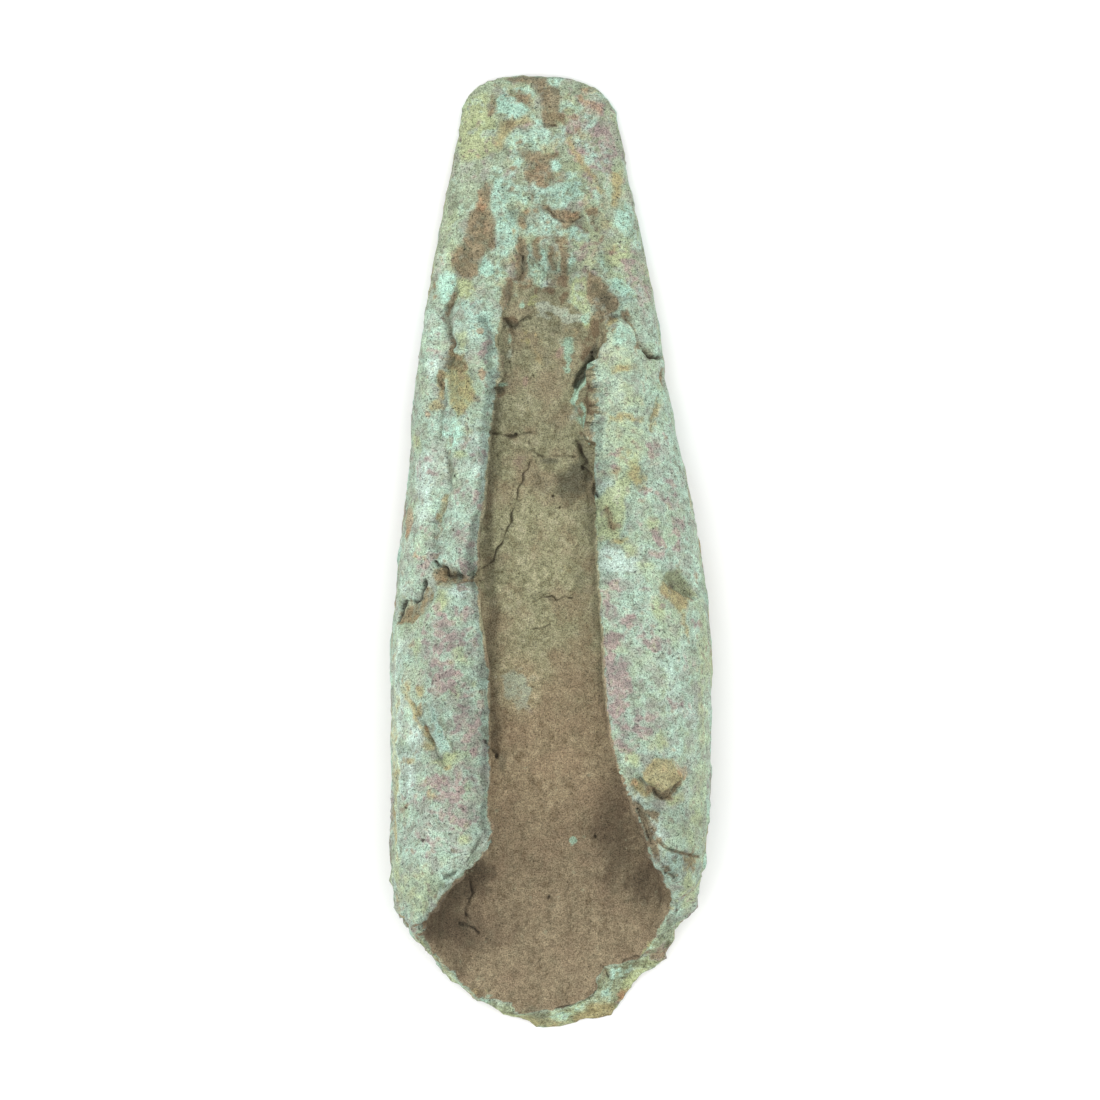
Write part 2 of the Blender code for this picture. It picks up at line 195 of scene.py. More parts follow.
# Where the chisel's edge swells out or is worn in: place, radius and how far
EDGE_SWELLS = (
    (607, 1010, 2.6, 1.2), (574, 1021, 2.6, 0.35), (662, 955, 2.0, 1.1), (631, 986, 1.4, -0.1),
    (550, 1023, 3.0, 0.5), (627, 999, 1.6, 0.7), (604, 1018, 1.3, 0.6), (699, 890, 1.6, -0.1),
    (510, 1013, 2.0, 0.5), (620, 146, 2.6, 0.6), (456, 150, 5.0, 0.25), (706, 845, 4.5, -0.12),
    (703, 868, 1.6, -0.25), (667, 378, 1.2, -0.3), (440, 970, 2.0, 0.35), (652, 972, 1.2, 0.35),
    (712, 795, 6.0, -0.2), (697, 520, 5.0, -0.2), (711, 720, 8.0, -0.3), (390, 700, 6.0, -0.4),
    (390, 790, 6.0, -0.35), (391, 865, 4.0, -0.35), (396, 910, 3.0, -0.6), (409, 460, 5.0, -0.3),
)

# The lip of the slot is worn back here, or stands out where the last number is below zero,
# above this height: place, radius and how far
LIP_WEAR = (
    (480, 545, 5.5, 0.7), (593, 402, 3.8, 0.75), (604, 338, 2.4, -0.8), (486, 814, 2.2, 0.4),
    (488, 843, 1.8, -0.5),
)
LIP_FOOT = 15.0

# Raised flakes and sunken scars of the blade and the wings
THUMB = (
    (600, 326), (608, 319), (618, 316), (628, 323), (636, 338), (643, 356), (645, 400), (643, 455),
    (636, 490), (620, 505), (594, 505), (596, 420), (598, 350),
)
LOWER_CRUST = (
    (647, 812), (664, 810), (690, 806), (704, 815), (702, 852), (684, 852), (668, 846), (655, 834),
)
TORN_BAND = (
    (492, 832), (480, 841), (465, 853), (448, 871), (432, 890), (418, 912), (412, 930), (425, 930),
    (440, 895), (458, 877), (480, 858), (492, 842),
)
TAN_SCAR = (
    (428, 588), (434, 584), (434, 598), (425, 612), (412, 622), (396, 624), (400, 612), (406, 602),
    (416, 602),
)
BREAK_FLOOR = ((436, 562), (442, 583), (458, 581), (478, 582), (482, 570), (470, 575), (452, 570))
DENT = ((665, 572), (678, 571), (687, 580), (696, 596), (686, 597), (674, 590), (664, 578))
FLAKE_PLATE = (
    (650, 842), (658, 840), (668, 847), (682, 853), (681, 864), (674, 871), (662, 867), (653, 857),
)
SCAR = (
    (450, 352), (464, 356), (470, 374), (475, 390), (473, 402), (466, 412), (458, 418), (449, 404),
    (448, 384), (447, 366),
)
BLISTER = (
    (645, 762), (655, 756), (672, 758), (676, 768), (684, 776), (672, 785), (661, 789), (648, 782),
    (641, 774),
)
FOLD_STRIP = ((430, 703), (438, 703), (450, 733), (459, 749), (447, 750), (438, 733))
SIDE_NOTCH = ((660, 372), (668, 372), (670, 388), (664, 386))

# Each one's outline, its height and the width of its edge
OUTER_SHELVES = (
    (THUMB, 0.40, 0.8), (LOWER_CRUST, 0.35, 0.4), (TORN_BAND, -0.30, 0.4), (TAN_SCAR, -0.35, 0.4),
    (BREAK_FLOOR, -0.3, 0.35), (DENT, -0.35, 0.7), (FLAKE_PLATE, 0.35, 0.3), (SCAR, -0.25, 0.4),
    (BLISTER, 0.40, 0.5), (FOLD_STRIP, 0.18, 0.35), (SIDE_NOTCH, -0.5, 0.5),
)

# Flakes, ledges and banks of earth in the socket
LIFTED_FLAKE = (
    (598, 364), (590, 370), (582, 380), (576, 390), (574, 402), (580, 414), (586, 430), (590, 446),
    (597, 440), (601, 400),
)
FLAKE_SHADOW = (
    (593, 357), (598, 362), (592, 369), (584, 379), (578, 389), (574, 387), (579, 375), (586, 364),
)
SOIL_LEDGE = ((492, 380), (500, 382), (509, 377), (511, 366), (508, 350), (496, 352))
HOLLOW_LEDGE = ((503, 296), (506, 318), (512, 326), (522, 319), (530, 314), (533, 296))
RIGHT_STEP = ((575, 440), (584, 466), (590, 520), (600, 520), (600, 436))
SOIL_BANK = ((500, 455), (527, 462), (518, 490), (508, 530), (492, 558), (486, 520), (490, 480))
SOCKET_SHELVES = (
    (LIFTED_FLAKE, 1.6, 0.25), (FLAKE_SHADOW, -1.3, 0.5), (SOIL_LEDGE, 0.7, 0.35),
    (HOLLOW_LEDGE, 0.5, 0.4), (RIGHT_STEP, -0.5, 0.6), (SOIL_BANK, 0.35, 0.5),
)

# Stained patches of the blade
BRIGHT_PATCH = (
    (497, 97), (502, 94), (514, 96), (522, 101), (527, 105), (526, 111), (519, 113), (515, 118),
    (508, 113), (497, 110),
)
PALE_BAND = (
    (506, 130), (524, 127), (545, 125), (562, 130), (566, 140), (560, 148), (530, 149), (508, 146),
)
SQUARE_SPOT = ((551, 160), (559, 159), (562, 166), (558, 172), (551, 170))
CENTRE_PATCH = (
    (576, 165), (581, 178), (590, 189), (582, 196), (570, 204), (572, 210), (556, 210), (546, 203),
    (546, 194), (556, 184), (566, 180), (571, 172),
)
LEFT_COLUMN = (
    (489, 172), (497, 168), (502, 176), (512, 178), (521, 186), (523, 197), (517, 205), (519, 220),
    (520, 234), (515, 250), (508, 262), (501, 262), (496, 243), (494, 222), (489, 205), (491, 188),
)
CENTRE_BAND = (
    (529, 190), (541, 190), (541, 202), (552, 216), (561, 218), (562, 232), (545, 238), (526, 236),
    (524, 222), (531, 210),
)
RIGHT_COLUMN = ((614, 212), (624, 202), (633, 206), (637, 225), (636, 242), (622, 234), (613, 226))
CORNER_PATCH = ((608, 280), (618, 277), (627, 285), (633, 291), (626, 296), (613, 288))
LOWER_SPOT = ((480, 262), (486, 257), (493, 264), (496, 272), (486, 277), (479, 272))
EDGE_PATCH = ((437, 276), (457, 272), (456, 286), (451, 300), (444, 304), (438, 292))
TIP_BROWN = (
    (541, 84), (560, 86), (561, 96), (559, 111), (567, 113), (566, 119), (556, 127), (547, 127),
    (541, 119), (540, 100),
)
TIP_EDGE = ((503, 75), (548, 75), (547, 92), (536, 95), (530, 84), (512, 80))
BROWN_ARC = ((507, 90), (518, 91), (529, 96), (532, 107), (526, 103), (518, 98), (508, 94))
BROWN_STRIP = ((490, 96), (495, 94), (496, 111), (489, 115), (487, 108))
MIDDLE_BROWN = (
    (514, 147), (526, 147), (536, 151), (560, 152), (563, 156), (551, 159), (549, 171), (563, 173),
    (551, 181), (545, 187), (533, 181), (528, 185), (524, 178), (526, 167), (521, 158),
)
BIG_BROWN = (
    (486, 180), (492, 185), (490, 204), (492, 214), (498, 222), (495, 236), (495, 246), (485, 255),
    (480, 263), (478, 275), (469, 280), (459, 279), (450, 265), (453, 254), (457, 247), (466, 236),
    (466, 222), (470, 213), (478, 206), (478, 194),
)
FORKED_BROWN = (
    (540, 203), (547, 203), (553, 210), (561, 212), (568, 209), (580, 211), (583, 217), (575, 223),
    (567, 231), (561, 229), (562, 220), (552, 216), (543, 209),
)
SMALL_BROWN = ((517, 215), (527, 208), (531, 209), (525, 219), (522, 227), (517, 224))
SLOT_BROWN = (
    (519, 234), (527, 240), (528, 256), (529, 272), (525, 286), (516, 284), (515, 262), (517, 246),
)
LEFT_SPIKE = ((531, 238), (540, 236), (542, 248), (541, 258), (537, 266), (532, 256))
LEFT_TINE = ((547, 246), (555, 245), (557, 260), (558, 272), (549, 272), (547, 260))
RIGHT_TINE = ((561, 246), (569, 246), (569, 262), (569, 282), (560, 284), (560, 262))
TINE_ROOT = ((546, 270), (570, 272), (569, 288), (546, 288))
GROOVE_LEFT = ((506, 277), (515, 279), (512, 296), (512, 312), (508, 322), (501, 316), (502, 296))
SHORT_ARC = ((553, 236), (563, 237), (567, 244), (561, 245), (553, 242))
RED_BROWN = (
    (586, 270), (593, 275), (600, 278), (607, 288), (616, 297), (620, 303), (615, 313), (605, 319),
    (599, 330), (598, 345), (590, 345), (591, 320), (590, 306), (586, 294),
)
DARK_NOTCH = ((507, 206), (516, 206), (516, 218), (508, 219))
OCHRE_BAR = ((612, 172), (621, 170), (621, 190), (617, 208), (612, 206), (614, 190))
OCHRE_CURVE = (
    (499, 116), (512, 119), (522, 116), (531, 114), (529, 119), (514, 127), (507, 136), (503, 149),
    (497, 151), (497, 136),
)
LEAF_STRIP = (
    (570, 284), (578, 276), (587, 276), (587, 294), (591, 305), (593, 319), (586, 323), (580, 312),
    (571, 305),
)
LEFT_SHOULDER = (
    (468, 96), (489, 90), (488, 112), (497, 118), (497, 152), (480, 158), (462, 162), (458, 135),
    (461, 112),
)
RIGHT_OLIVE = (
    (584, 176), (596, 178), (603, 200), (603, 240), (592, 262), (580, 250), (577, 226), (583, 205),
)
RIGHT_YELLOW = ((603, 244), (626, 238), (632, 255), (612, 272), (600, 262))
PINK_SHOULDER = ((577, 84), (592, 86), (605, 100), (606, 118), (596, 118), (588, 106), (578, 100))
GREY_SHOULDER = ((566, 112), (606, 120), (615, 150), (612, 172), (590, 172), (572, 158), (564, 135))

# Stained patches of the wings
LEAF_OCHRE = ((457, 279), (471, 280), (477, 291), (468, 298), (457, 298))
INNER_PALE = (
    (459, 300), (480, 299), (493, 305), (494, 332), (478, 342), (470, 330), (455, 328), (456, 310),
)
SCAR_TOP = ((450, 352), (464, 356), (469, 370), (458, 372), (448, 366))
SEAM_LEAF = ((457, 334), (466, 331), (469, 344), (465, 352), (458, 349))
THUMB_OCHRE = ((602, 330), (606, 321), (618, 317), (618, 323), (610, 329), (606, 338))
THUMB_PALE = ((615, 324), (628, 326), (634, 342), (625, 350), (614, 346), (611, 334))
UPPER_BAR = ((607, 367), (636, 366), (636, 373), (610, 375))
LOWER_BAR = ((606, 417), (622, 414), (641, 420), (640, 426), (622, 422), (607, 424))
GASH_OCHRE = ((657, 399), (660, 405), (655, 420), (652, 433), (648, 430), (650, 415))
GREEN_TOP = (
    (592, 502), (616, 482), (634, 462), (637, 478), (625, 490), (624, 520), (618, 540), (594, 540),
)
BROWN_MIDDLE = ((604, 506), (608, 504), (612, 518), (619, 528), (612, 532), (605, 524))
LEAF_FLOOR = ((612, 540), (624, 536), (634, 546), (638, 556), (628, 560), (620, 548))
PALE_PATCH = ((597, 546), (618, 548), (634, 556), (640, 568), (618, 574), (597, 570))
DENT_OCHRE = ((662, 580), (674, 589), (688, 598), (686, 608), (676, 612), (668, 600), (658, 588))
DENT_TAIL = ((676, 608), (683, 612), (688, 628), (688, 644), (683, 630))
BLISTER_LEFT = ((628, 776), (640, 778), (650, 790), (645, 797), (634, 790))
BLISTER_RIGHT = ((675, 760), (686, 764), (690, 774), (684, 778), (677, 770))
BLISTER_FOOT = ((666, 796), (682, 788), (684, 798), (672, 806), (660, 804))
BLISTER_BROWN = (
    (638, 777), (650, 783), (661, 790), (672, 786), (685, 776), (677, 789), (666, 800), (657, 796),
    (644, 789),
)
BREAK_BROWN = (
    (434, 566), (446, 567), (458, 573), (470, 577), (479, 571), (479, 583), (468, 582), (452, 582),
    (436, 584),
)
END_OCHRE = ((683, 854), (694, 853), (695, 866), (684, 868))
END_RED = ((662, 872), (674, 874), (676, 888), (668, 884))
FOLD_PALE = ((430, 703), (436, 706), (447, 735), (452, 750), (444, 752), (436, 735))
LEFT_PALE = ((410, 724), (422, 724), (424, 745), (418, 758), (408, 740))
FLAKE_SIDE = ((589, 367), (597, 366), (598, 400), (597, 424), (590, 424), (587, 400))
RED_RIM = ((647, 952), (656, 946), (672, 943), (672, 954), (658, 957), (648, 960))

# The patches that each colour has there, with their strengths
OUTER_PATCHES = {
    "turquoise": (
        (BRIGHT_PATCH, 1.4), (PALE_BAND, 0.55), (SQUARE_SPOT, 1.2), (CENTRE_PATCH, 0.62),
        (LEFT_COLUMN, 0.70), (CENTRE_BAND, 0.58), (RIGHT_COLUMN, 0.68), (CORNER_PATCH, 1.1),
        (LOWER_SPOT, 1.1), (EDGE_PATCH, 0.9), (INNER_PALE, 0.5), (THUMB_PALE, 0.6),
        (FLAKE_PLATE, 0.3), (FOLD_PALE, 0.6),
    ),
    "leaf": (
        (LEFT_SHOULDER, 0.9), (RIGHT_OLIVE, 0.6), (RIGHT_YELLOW, 0.75), (LEAF_STRIP, 1.3),
        (LEAF_OCHRE, 1.1), (SEAM_LEAF, 0.9), (GREEN_TOP, 1.0), (LEAF_FLOOR, 0.8),
        (BLISTER_FOOT, 0.9), (SCAR, 0.9), (DENT, 0.9),
    ),
    "ochre": (
        (OCHRE_BAR, 1.2), (OCHRE_CURVE, 0.95), (SCAR, 0.72), (THUMB_OCHRE, 1.2), (UPPER_BAR, 0.9),
        (LOWER_BAR, 0.9), (GASH_OCHRE, 1.0), (DENT_OCHRE, 1.2), (DENT_TAIL, 1.0), (BLISTER, 1.3),
        (BLISTER_LEFT, 1.1), (TAN_SCAR, 0.8), (END_OCHRE, 1.0), (BREAK_BROWN, 0.6),
    ),
    "orange": ((BLISTER_RIGHT, 0.9), (PINK_SHOULDER, 0.45)),
    "brown": (
        (TIP_BROWN, 1.0), (TIP_EDGE, 1.0), (BROWN_ARC, 1.1), (BROWN_STRIP, 0.9),
        (MIDDLE_BROWN, 0.95), (BIG_BROWN, 0.98), (FORKED_BROWN, 1.25), (SMALL_BROWN, 1.0),
        (SLOT_BROWN, 1.05), (LEFT_SPIKE, 1.05), (LEFT_TINE, 1.0), (RIGHT_TINE, 1.0),
        (TINE_ROOT, 0.85), (SHORT_ARC, 1.0), (RED_BROWN, 1.2), (GROOVE_LEFT, 1.0), (SCAR_TOP, 0.85),
        (BROWN_MIDDLE, 0.9), (BLISTER_BROWN, 1.1), (BREAK_BROWN, 0.9), (END_RED, 1.1),
        (SIDE_NOTCH, 0.8), (TAN_SCAR, 0.75), (FLAKE_SIDE, 1.2), (RED_RIM, 0.8),
    ),
    "dark": ((DARK_NOTCH, 0.9), (DENT, 0.75)),
    "shaded": ((FLAKE_SIDE, 0.6), (DENT, 0.3), (SCAR, 0.5)),
    "pink": ((PINK_SHOULDER, 0.9), (GREY_SHOULDER, 0.95), (RED_RIM, 1.0)),
    "pale": (
        (PALE_PATCH, 0.9), (PALE_BAND, 0.4), (FLAKE_PLATE, 0.35), (FOLD_PALE, 0.9),
        (LEFT_PALE, 0.9),
    ),
}

# Small stains there: place, half width and half height in pixels, and strength. Those
# called shaded and lit are broader: they are painted shade and painted light, which make
# the surface darker or lighter
OUTER_STAINS = {
    "turquoise": (
        (520, 88, 6, 3, 0.8), (498, 172, 6, 6, 0.6), (567, 230, 6, 7, 1.1), (545, 250, 4, 14, 0.8),
        (521, 306, 4, 6, 1.3), (455, 437, 9, 14, 0.9), (572, 262, 5, 9, 0.9), (604, 262, 6, 8, 0.7),
        (606, 160, 10, 20, 0.35), (612, 292, 12, 14, 0.5), (628, 290, 10, 14, 0.6),
        (445, 285, 9, 15, 0.6), (537, 192, 5, 8, 0.8), (590, 305, 3, 12, 0.4),
        (500, 268, 8, 9, 0.6), (634, 240, 8, 16, 0.5), (452, 420, 10, 14, 0.4),
        (660, 395, 10, 20, 0.4),
    ),
    "leaf": (
        (596, 196, 10, 16, 0.5), (578, 231, 4, 9, 0.9), (443, 597, 7, 13, 0.95),
        (448, 757, 12, 8, 0.85), (415, 648, 6, 10, 0.7), (634, 470, 5, 14, 0.95),
        (655, 605, 9, 13, 0.8), (658, 740, 9, 8, 0.85), (635, 760, 8, 8, 0.85),
        (703, 700, 5, 110, 0.5), (396, 760, 3, 90, 0.6), (419, 443, 5, 7, 0.85),
        (462, 457, 7, 4, 0.85), (460, 655, 9, 8, 0.75), (622, 430, 26, 70, 0.4),
        (628, 398, 12, 14, 0.75), (618, 352, 20, 42, 0.5), (700, 800, 8, 40, 0.5),
        (452, 235, 8, 40, 0.45), (654, 524, 7, 8, 0.7), (645, 565, 10, 5, 0.6),
        (466, 432, 10, 4, 0.6), (466, 838, 8, 6, 0.8), (476, 682, 4, 4, 0.8), (457, 690, 7, 7, 0.6),
        (396, 880, 5, 24, 0.8), (468, 785, 5, 6, 0.6), (688, 892, 8, 20, 0.9),
        (418, 892, 16, 24, 0.6), (576, 238, 6, 12, 0.6), (536, 304, 8, 10, 1.1),
        (690, 836, 10, 14, 0.5),
    ),
    "ochre": (
        (447, 576, 9, 8, 0.9), (421, 690, 5, 7, 1.0), (421, 708, 6, 7, 1.0), (428, 730, 5, 7, 1.0),
        (427, 743, 7, 4, 0.9), (437, 407, 9, 4, 0.9), (625, 455, 7, 6, 0.6), (664, 384, 4, 7, 0.7),
        (394, 800, 3, 50, 0.9), (395, 700, 4, 80, 0.4), (650, 960, 10, 8, 0.7),
        (636, 477, 7, 12, 0.7), (604, 222, 6, 12, 0.7), (618, 541, 10, 3, 0.9),
        (658, 790, 16, 6, 0.5), (432, 792, 4, 6, 0.7), (408, 690, 5, 8, 0.6), (412, 760, 7, 3, 0.6),
        (449, 766, 4, 3, 0.9), (598, 250, 10, 10, 0.4),
    ),
    "orange": (
        (597, 109, 6, 9, 0.6), (592, 100, 7, 7, 0.4), (481, 206, 5, 8, 1.0), (409, 520, 4, 15, 1.2),
        (422, 705, 2, 5, 0.8), (660, 770, 9, 7, 0.4), (482, 375, 3, 6, 1.1), (479, 333, 4, 3, 1.0),
        (446, 578, 7, 4, 0.55), (428, 727, 3, 5, 0.7), (602, 300, 9, 8, 0.4), (571, 215, 8, 5, 0.6),
        (538, 170, 9, 10, 0.6), (428, 414, 4, 4, 1.0), (612, 252, 4, 6, 0.6),
        (483, 225, 8, 14, 0.35), (415, 556, 4, 4, 0.8), (427, 557, 3, 4, 0.8),
        (480, 158, 4, 4, 0.5), (634, 782, 6, 5, 0.6),
    ),
    "brown": (
        (563, 300, 6, 6, 1.0), (535, 291, 5, 4, 0.9), (550, 292, 8, 4, 0.8), (450, 320, 3, 12, 0.5),
        (442, 384, 3, 10, 0.7), (521, 285, 8, 8, 0.9), (592, 214, 8, 9, 0.85),
        (597, 230, 7, 16, 0.7), (604, 204, 6, 8, 0.6), (650, 957, 8, 8, 0.6),
        (666, 908, 5, 12, 0.9), (690, 862, 8, 8, 0.6), (627, 318, 5, 7, 0.9), (640, 346, 5, 4, 0.8),
        (614, 472, 12, 5, 0.5), (645, 786, 8, 4, 0.6), (648, 812, 8, 4, 0.95),
        (405, 807, 3, 6, 0.5), (664, 378, 4, 10, 1.8), (668, 878, 7, 6, 1.0), (612, 318, 9, 3, 0.8),
        (600, 325, 4, 8, 0.9), (408, 533, 3, 8, 0.8), (433, 284, 2, 8, 0.8), (654, 860, 5, 8, 0.6),
    ),
    "dark": (
        (676, 822, 26, 20, 0.55), (672, 900, 10, 16, 0.35), (523, 265, 3, 9, 1.0),
        (549, 124, 6, 3, 0.8), (652, 357, 8, 3, 0.9), (528, 76, 24, 2, 0.9), (402, 608, 4, 9, 0.6),
        (575, 222, 7, 3, 0.9), (610, 150, 8, 20, 0.3), (507, 295, 4, 14, 0.7),
        (604, 300, 6, 7, 0.9), (595, 285, 4, 5, 0.8), (449, 470, 4, 14, 0.6),
        (474, 852, 4, 12, 0.7), (486, 190, 4, 8, 0.6), (486, 808, 4, 16, 0.5),
        (478, 405, 6, 5, 0.45), (440, 384, 2, 8, 0.6), (609, 518, 4, 10, 0.5),
        (664, 628, 5, 3, 0.4), (456, 742, 4, 8, 0.5), (448, 850, 10, 4, 0.3),
    ),
    "pink": (
        (588, 158, 12, 12, 0.7), (632, 258, 9, 42, 0.7), (560, 140, 12, 8, 0.6),
        (508, 188, 8, 14, 0.5), (582, 255, 8, 10, 0.5), (512, 255, 8, 10, 0.6),
        (438, 352, 6, 10, 0.5), (471, 310, 9, 6, 0.9), (467, 323, 5, 5, 0.7),
        (472, 570, 10, 20, 0.8), (472, 730, 14, 60, 0.6), (484, 350, 6, 16, 0.7),
        (425, 470, 10, 14, 0.65), (432, 458, 5, 14, 0.6), (476, 452, 10, 10, 0.5),
        (468, 495, 12, 14, 0.6), (478, 500, 6, 14, 0.8), (470, 540, 12, 12, 0.8),
        (425, 560, 12, 14, 0.8), (430, 530, 8, 8, 0.6), (440, 620, 15, 14, 0.8),
        (470, 615, 8, 8, 0.9), (448, 641, 26, 13, 0.95), (435, 665, 17, 16, 0.7),
        (450, 680, 16, 12, 1.1), (480, 718, 5, 9, 1.3), (472, 740, 12, 14, 0.9),
        (475, 750, 5, 3, 1.1), (450, 787, 21, 16, 1.05), (458, 814, 21, 15, 0.95),
        (430, 840, 22, 14, 0.5), (415, 800, 12, 16, 0.5), (639, 291, 10, 20, 1.05),
        (636, 290, 5, 6, 1.0), (656, 452, 10, 12, 0.6), (612, 462, 8, 10, 0.7),
        (668, 432, 6, 6, 0.7), (645, 490, 10, 8, 0.7), (665, 490, 12, 12, 0.6),
        (655, 538, 8, 8, 1.0), (655, 555, 10, 7, 0.9), (640, 522, 6, 6, 0.8), (676, 549, 5, 6, 0.8),
        (695, 622, 9, 4, 0.9), (612, 580, 12, 10, 0.7), (610, 600, 10, 14, 0.8),
        (628, 624, 12, 8, 1.0), (612, 640, 9, 10, 1.0), (608, 660, 7, 14, 1.1),
        (620, 675, 14, 20, 1.2), (612, 708, 11, 16, 1.1), (628, 728, 14, 8, 0.9),
        (645, 722, 16, 12, 0.8), (653, 640, 15, 12, 0.9), (679, 531, 7, 12, 0.8),
        (625, 745, 15, 8, 0.7), (682, 705, 12, 8, 0.5), (690, 660, 8, 10, 0.6),
        (672, 700, 8, 4, 0.6), (665, 600, 20, 20, 0.3), (668, 880, 7, 7, 0.8),
        (655, 850, 6, 7, 0.6), (648, 838, 5, 14, 0.5),
    ),
    "pale": (
        (548, 283, 9, 7, 0.9), (436, 368, 6, 8, 0.8), (610, 490, 12, 8, 1.0),
        (468, 440, 14, 16, 0.8), (461, 590, 15, 6, 0.8), (470, 330, 14, 16, 0.5),
        (410, 775, 7, 24, 0.8), (538, 187, 3, 3, 1.2), (620, 395, 15, 14, 0.6),
        (424, 490, 9, 34, 0.8), (660, 854, 12, 9, 0.5), (425, 300, 6, 25, 0.6),
        (620, 345, 16, 18, 0.6), (397, 720, 5, 110, 0.7), (684, 886, 9, 16, 0.4),
        (655, 828, 9, 9, 0.8), (476, 470, 8, 8, 0.6), (444, 470, 3, 16, 0.6),
        (405, 600, 8, 12, 0.5), (662, 375, 8, 12, 0.6), (668, 690, 12, 30, 0.45),
        (692, 720, 8, 14, 0.5), (405, 590, 7, 8, 0.6), (640, 800, 9, 6, 0.8),
        (484, 480, 2, 60, 0.8), (663, 870, 4, 6, 0.5), (655, 410, 6, 10, 0.5),
    ),
    "shaded": (
        (474, 560, 10, 16, 0.5), (470, 600, 14, 26, 0.7), (472, 680, 16, 50, 0.75),
        (474, 770, 16, 50, 0.8), (480, 820, 12, 22, 0.8), (438, 888, 14, 14, 1.0),
        (426, 904, 10, 12, 0.8), (470, 444, 12, 18, 0.7), (638, 804, 10, 8, 1.1),
        (652, 806, 8, 8, 1.0), (664, 862, 12, 16, 1.2), (680, 868, 12, 20, 0.9),
        (604, 478, 6, 20, 0.9), (606, 536, 8, 14, 0.8), (576, 236, 10, 14, 0.7),
        (606, 266, 10, 12, 0.7), (550, 268, 26, 18, 0.8), (636, 776, 8, 8, 0.7),
        (606, 972, 12, 12, 1.5), (618, 526, 16, 20, 0.7), (612, 304, 16, 14, 1.0),
        (456, 340, 8, 10, 0.8), (468, 400, 10, 24, 0.6), (440, 724, 14, 36, 0.7),
        (566, 192, 16, 14, 0.5), (606, 566, 8, 14, 0.8), (412, 748, 10, 12, 0.7),
        (636, 790, 10, 8, 0.7), (634, 745, 12, 14, 0.6), (440, 596, 10, 8, 0.5),
        (664, 926, 8, 14, 0.8), (632, 700, 10, 20, 0.5), (636, 475, 8, 12, 0.5),
        (590, 218, 10, 10, 0.6), (664, 912, 6, 12, 0.9), (684, 880, 10, 16, 0.5),
        (545, 297, 22, 12, 1.0),
    ),
    "lit": (
        (440, 340, 14, 22, 0.9), (410, 548, 10, 16, 0.9), (408, 718, 10, 30, 0.7),
        (440, 264, 12, 26, 0.8), (466, 172, 12, 20, 0.6), (395, 700, 5, 200, 0.9),
        (711, 740, 5, 110, 0.8), (440, 230, 5, 60, 0.7), (448, 498, 14, 16, 0.7),
        (604, 345, 6, 16, 0.6), (696, 520, 5, 60, 0.8), (442, 475, 10, 12, 0.7),
        (652, 446, 10, 10, 0.5), (428, 832, 12, 12, 0.5), (455, 437, 9, 14, 0.8),
        (421, 512, 8, 36, 0.35), (438, 368, 7, 9, 0.7),
    ),
}

# Streaks there: route, half width in pixels, and strength
LEFT_LIP = (
    (483, 322), (491, 352), (488, 400), (486, 440), (484, 480), (480, 520), (477, 560), (481, 620),
    (486, 690), (487, 830),
)
RIGHT_LIP = ((597, 385), (597, 450), (598, 500), (600, 540))
PALE_TEAR = (
    (489, 836), (481, 850), (470, 864), (456, 874), (445, 885), (435, 897), (425, 912), (419, 926),
)
FOLD_OCHRE = ((404, 690), (411, 703), (418, 720), (426, 733), (434, 742))
END_INNER = ((637, 804), (642, 816), (645, 830), (650, 846), (656, 860), (664, 873), (668, 886))
THUMB_SIDE_BROWN = ((606, 302), (606, 312), (603, 324), (599, 338))
GROOVE_BROWN = ((662, 357), (653, 356), (645, 350), (637, 342), (633, 331), (627, 320), (622, 312))
LILAC_BAND = ((542, 306), (552, 307), (561, 312), (568, 318), (577, 319), (586, 316))
OUTER_STREAKS = {
    "pale": ((PALE_TEAR, 4, 0.4), (LILAC_BAND, 5, 2.0)),
    "brown": (
        (THUMB_SIDE_BROWN, 5, 1.3), (GROOVE_BROWN, 2, 0.65), (SEAM_TOP, 2.8, 0.7),
        (SEAM_EDGE, 2, 0.35), (SEAM_LOW, 2.6, 0.2), (END_LAYER, 2, 0.75), (END_INNER, 5, 1.2),
        (END_FLAKE, 2, 0.8),
    ),
    "ochre": (
        (FOLD_OCHRE, 2.5, 0.8), (((444, 374), (440, 388), (441, 400), (434, 408)), 3.5, 0.9),
        (((446, 496), (443, 510), (440, 520)), 3, 0.8),
        (((570, 138), (575, 150), (584, 166), (596, 180), (602, 192)), 3, 0.85),
    ),
    "dark": ((((480, 842), (474, 852), (470, 862)), 2.5, 0.7),),
    "shaded": (
        (LEFT_LIP, 5, 1.5), (RIGHT_LIP, 4, 1.1), (END_INNER, 4, 0.9), (SEAM_TOP, 4, 0.8),
        (SEAM_EDGE, 4, 0.45), (SEAM_LOW, 4, 0.6),
    ),
}

# Stained patches of the socket and of the rim at its mouth
HOLLOW_TURQUOISE = (
    (565, 335), (571, 338), (576, 349), (573, 360), (570, 373), (564, 374), (566, 362), (561, 353),
    (563, 342),
)
FLAKE_FOOT = ((574, 404), (580, 402), (588, 416), (594, 432), (594, 446), (586, 436), (576, 424))
FLAKE_BROWN = ((598, 374), (592, 384), (584, 398), (590, 412), (598, 428), (600, 400))
WALL_BROWN = ((590, 322), (600, 322), (600, 352), (588, 362), (578, 366), (580, 340))
BRIGHT_RIM = (
    (608, 966), (617, 966), (624, 968), (633, 960), (635, 966), (627, 974), (621, 983), (612, 983),
    (608, 974),
)
LOWER_RIM = ((600, 984), (612, 982), (613, 994), (606, 999), (599, 993))
GREY_SPUR = ((600, 965), (608, 965), (610, 976), (604, 984), (597, 984), (600, 974))
ORANGE_RIM = ((618, 988), (627, 988), (629, 997), (618, 1001), (614, 995))
GREEN_RIM = ((548, 1011), (566, 1008), (584, 1002), (586, 1010), (570, 1018), (550, 1020))
